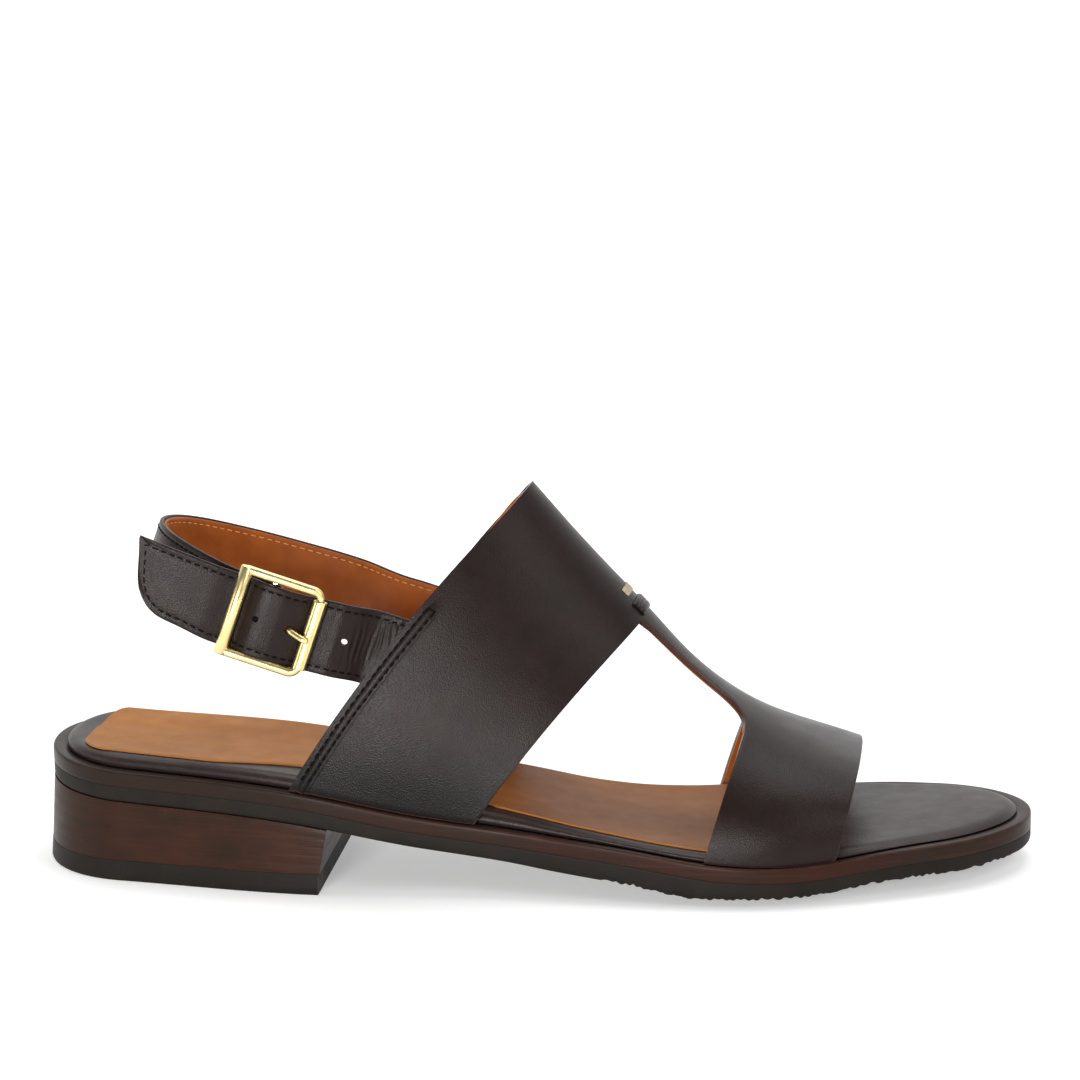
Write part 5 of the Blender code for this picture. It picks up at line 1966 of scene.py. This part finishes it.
@dataclass
class Buckle(Sling):
    """The gold roller buckle: frame, centre bar, roller and prong."""

    left: float = 31.6
    right: float = 52.1
    bar_lift: float = 1.25
    roller_lift: float = 1.75
    half: float = 11.4
    bar_radius: float = 1.65
    hoop_radius: float = 1.2
    axle_radius: float = 0.9
    roller_radius: float = 1.8
    prong_radius: float = 0.9
    loop_radius: float = 0.75
    prong_droop: float = 1.3
    raise_by: float = 0.45
    bend: float = 2.4
    hoop_short: float = 0.35

    def build(self) -> None:
        """Models frame, roller and prong."""
        self.build_frame()
        self.build_roller()
        self.build_prong()

    def span(self, share: float, height: float) -> tuple[float, float, float]:
        """A point between the left bar and the roller's bar."""
        left = self.from_line(self.left, self.bar_lift)
        right = self.from_line(self.right, self.roller_lift)
        place = left.along + share * (right.along - left.along)
        return (place, left.across + share * (right.across - left.across), height + self.raise_by)

    def build_frame(self) -> None:
        """Bends a square hoop, closes it with a straight bar and adds a dropped centre bar."""
        length = self.right - self.left
        level = self.half - self.hoop_short
        top = [self.span(0.0, level)]
        radii = [self.hoop_radius]
        for turn in np.radians(np.linspace(90, 0, 13)):
            share = 1 - self.bend * (1 - math.cos(turn)) / length
            top.append(self.span(share, level - self.bend * (1 - math.sin(turn))))
            blend = turn / (math.pi / 2)
            radii.append(self.axle_radius + blend * (self.hoop_radius - self.axle_radius))
        hoop = top + [(x, y, 2 * self.raise_by - z) for x, y, z in reversed(top)]
        wire = Bench.wire("hoop", self.shoe(np.array(hoop)), radii + radii[::-1])
        tip, shoulder = self.half + 0.55, self.half + 0.3
        ends = [self.span(0.0, z) for z in (-tip, -shoulder, shoulder, tip)]
        thick = [self.bar_radius * share for share in (0.8, 1.0, 1.0, 0.8)]
        bar = Bench.wire("left_bar", self.shoe(np.array(ends)), thick)
        drop = self.centre
        lip = self.span((self.centre_bar - self.left) / length, 0.0)[1]
        post = self.half - 0.5
        staple = [(drop.along, lip, post), (drop.along, drop.across - 0.9, post)]
        staple += [(drop.along, drop.across - 0.25, post - 0.25)]
        staple += [(drop.along, drop.across, post - 0.9)]
        staple += [(x, y, -z) for x, y, z in reversed(staple)]
        thick = [self.centre_radius * 0.97] * len(staple)
        centre = Bench.wire("centre_bar", self.shoe(np.array(staple)), thick)
        frame_piece = Bench.join([wire, bar, centre], "buckle_hoop")
        self.give(frame_piece, self.finishes.gold, Slot.GOLD, ["buckle_frame"], 55.0)

    def build_roller(self) -> None:
        """Turns the roller: a tube with rolled ends and the line where its sheet meets."""
        half = self.half - self.bend + 0.3
        at = self.span(1.0, 0.0)
        turn = np.linspace(0, 2 * np.pi, 49)[:-1]
        wide = self.roller_radius
        profile = [(1.2, -half), (wide - 0.15, -half - 0.02), (wide, -half + 0.16)]
        profile += [(wide, -half + 0.5), (wide, 0.0)]
        profile += [(r, -z) for r, z in reversed(profile[:-1])]
        seam = 1 - 0.07 * bell(np.angle(np.exp(1j * (turn + 0.95))), 0.12)
        rings = []
        for radius, height in [*profile, profile[0]]:
            shape = radius * (seam if radius == wide else 1.0)
            x, y = at[0] + shape * np.cos(turn), at[1] + shape * np.sin(turn)
            ring = np.column_stack([x, y, np.full(len(turn), height)])
            rings.append(self.shoe(np.concatenate([ring, ring[:1]])))
        roller = Bench.sheet("buckle_roller_tube", np.stack(rings))
        Bench.close(roller)
        self.give(roller, self.finishes.gold, Slot.GOLD, ["buckle_roller"], 40.0)

    def build_prong(self) -> None:
        """Bends the prong from its loop on the centre bar, through its hole, to the roller."""
        bar = self.centre
        thin, full = self.loop_radius, self.prong_radius
        loop = self.centre_radius + self.wrap_gap + thin
        path = []
        for turn in map(math.radians, range(250, 30, -15)):
            across = bar.across - loop * math.sin(turn)
            path.append((bar.along + loop * math.cos(turn), across, 0.0))
        hole = self.hole_first + self.prong_hole_index * self.hole_pitch + self.prong_shift
        top = self.roller_lift + self.roller_radius + full + 0.1
        rise = [(hole - 2.2, -1.55), (hole - 0.6, -1.1), (hole, 0.1), (hole + 0.3, 1.5)]
        rise += [(hole + 1.2, 2.5), (hole + 3.0, 3.1)]
        rise += [(self.right - 1.0, top), (self.right, top - 0.1), (self.right + 0.35, top - 0.25)]
        for place, lift in rise:
            point = self.from_line(place, lift)
            droop = self.prong_droop * min(max((place - hole) / (self.right - hole), 0.0), 1.2)
            path.append((point.along, point.across, -droop))
        radii = [thin] * (len(path) - 7) + [full] * 5 + [full * 0.9, full * 0.5]
        prong = Bench.wire("buckle_tongue", self.shoe(np.array(path)), radii)
        Bench.apply(prong, "SUBSURF", levels=1, render_levels=1)
        self.give(prong, self.finishes.gold, Slot.GOLD, ["buckle_prong"], 55.0)


class Softbox(NamedTuple):
    """An area light: place and target in shoe millimetres, size in metres, power and colour."""

    name: str
    place: tuple[float, float, float]
    target: tuple[float, float, float]
    size: tuple[float, float]
    power: float
    colour: tuple[float, float, float] = (1.0, 1.0, 1.0)


@dataclass(frozen=True)
class Studio:
    """The photograph's camera, a pale floor and soft light."""

    distance: float = 1050.0
    azimuth: float = 6.5
    elevation: float = 15.05
    roll: float = -1.15
    focal_px: float = 3949.0
    image_px: float = 1080.0
    target: tuple[float, float, float] = (131.0, 0.0, 30.0)
    target_px: tuple[float, float] = (534.7, 749.6)
    sensor: float = 36.0
    floor_size: float = 24.0
    floor_white: tuple[float, ...] = (0.72, 0.72, 0.72, 1.0)
    floor_glow: tuple[float, float] = (0.36, 1.05)
    glow_reach: tuple[float, float] = (0.2, 1.4)
    room_depth: tuple[float, float] = (-0.3, 0.8)
    room_light: tuple[float, float] = (0.14, 1.25)
    view_end: float = 60.0
    boxes: tuple[Softbox, ...] = (
        Softbox("overhead", (130, 380, 1450), (130, 0, 0), (1.3, 0.8), 13.0),
        Softbox(
            "front_left", (-90, -1060, 220), (110, 0, 50), (0.24, 0.28), 10.0, (1.0, 0.99, 0.97)
        ),
        Softbox("left", (-900, -330, 260), (40, 0, 30), (0.3, 0.6), 1.8),
        Softbox("front_right", (1150, -700, 850), (160, 0, 40), (0.6, 0.9), 7.0),
    )

    def build(self) -> None:
        """Sets up floor, light and camera."""
        self.build_floor()
        self.build_light()
        self.build_camera()

    def build_floor(self) -> None:
        """Lays a pale floor under the shoe."""
        Bench.clear()
        bpy.ops.mesh.primitive_plane_add(size=self.floor_size, location=(0, 0, 0))
        floor = Bench.named("floor")
        paint = Paint("pale_floor")
        middle = paint.node("ShaderNodeVectorMath", Vector=paint.place)
        middle.operation = "LENGTH"
        glow = paint.span(middle.outputs["Value"], *self.glow_reach, self.floor_glow)
        paint.set(Base_Color=self.floor_white, Roughness=0.9, Specular_IOR_Level=0.1)
        paint.set(Emission_Color=(1.0, 1.0, 1.0, 1.0), Emission_Strength=glow)
        floor.data.materials.append(paint.material)

    def build_light(self) -> None:
        """Hangs the softboxes and sets a room that is brighter behind the shoe."""
        for box in self.boxes:
            place = Vector(metres(np.array(box.place)))
            aim = Vector(metres(np.array(box.target))) - place
            turn = aim.to_track_quat("-Z", "Y").to_euler()
            Bench.clear()
            bpy.ops.object.light_add(type="AREA", location=place, rotation=turn)
            light = Bench.named(box.name).data
            light.shape = "RECTANGLE"
            light.size, light.size_y = box.size
            light.energy = box.power
            light.color = box.colour
        world = bpy.data.worlds.new("room")
        world.use_nodes = True
        tree = world.node_tree
        room = tree.nodes["Background"]
        room.inputs["Color"].default_value = (1.0, 1.0, 1.0, 1.0)
        where = tree.nodes.new("ShaderNodeTexCoord")
        split = tree.nodes.new("ShaderNodeSeparateXYZ")
        ramp = tree.nodes.new("ShaderNodeMapRange")
        sockets = ("From Min", "From Max", "To Min", "To Max")
        for name, value in zip(sockets, (*self.room_depth, *self.room_light)):
            ramp.inputs[name].default_value = value
        tree.links.new(where.outputs["Generated"], split.inputs[0])
        tree.links.new(split.outputs["Y"], ramp.inputs["Value"])
        tree.links.new(ramp.outputs[0], room.inputs["Strength"])
        bpy.context.scene.world = world
        bpy.context.scene.view_settings.view_transform = "Standard"

    def build_camera(self) -> None:
        """Places the camera where the photograph was taken from, and aims it."""
        turn, lift = math.radians(self.azimuth), math.radians(self.elevation)
        level = math.cos(lift)
        back = Vector((math.sin(turn) * level, -math.cos(turn) * level, math.sin(lift)))
        right = Vector((math.cos(turn), math.sin(turn), 0.0))
        up = back.cross(right)
        lean = math.radians(self.roll)
        right, up = (
            math.cos(lean) * right + math.sin(lean) * up,
            math.cos(lean) * up - math.sin(lean) * right,
        )
        middle = self.image_px / 2
        tilt = math.atan((self.target_px[1] - middle) / self.focal_px)
        swing = math.atan((middle - self.target_px[0]) / self.focal_px)
        axes = Matrix((right, up, back)).transposed()
        axes = axes @ Matrix.Rotation(tilt, 3, "X") @ Matrix.Rotation(-swing, 3, "Y")
        place = Vector(metres(np.array(self.target))) + back * self.distance * MM
        Bench.clear()
        bpy.ops.object.camera_add(location=place, rotation=axes.to_euler())
        camera = Bench.named("photo_camera")
        camera.data.sensor_width = self.sensor
        camera.data.lens = self.focal_px / self.image_px * self.sensor
        camera.data.clip_end = self.view_end
        bpy.context.scene.camera = camera


def main() -> None:
    """Builds the sandal's sub-assemblies in order, then the studio."""
    logging.basicConfig(level=logging.INFO, format="%(name)s: %(message)s")
    finishes = Finishes()
    for assembly in (Sole, Footbed, Upper, Straps, Buckle):
        work = assembly(finishes)
        work.build()
        LOG.info("%s: %d pieces", assembly.__name__, len(work.made))
    Studio().build()


if __name__ == "__main__":
    main()
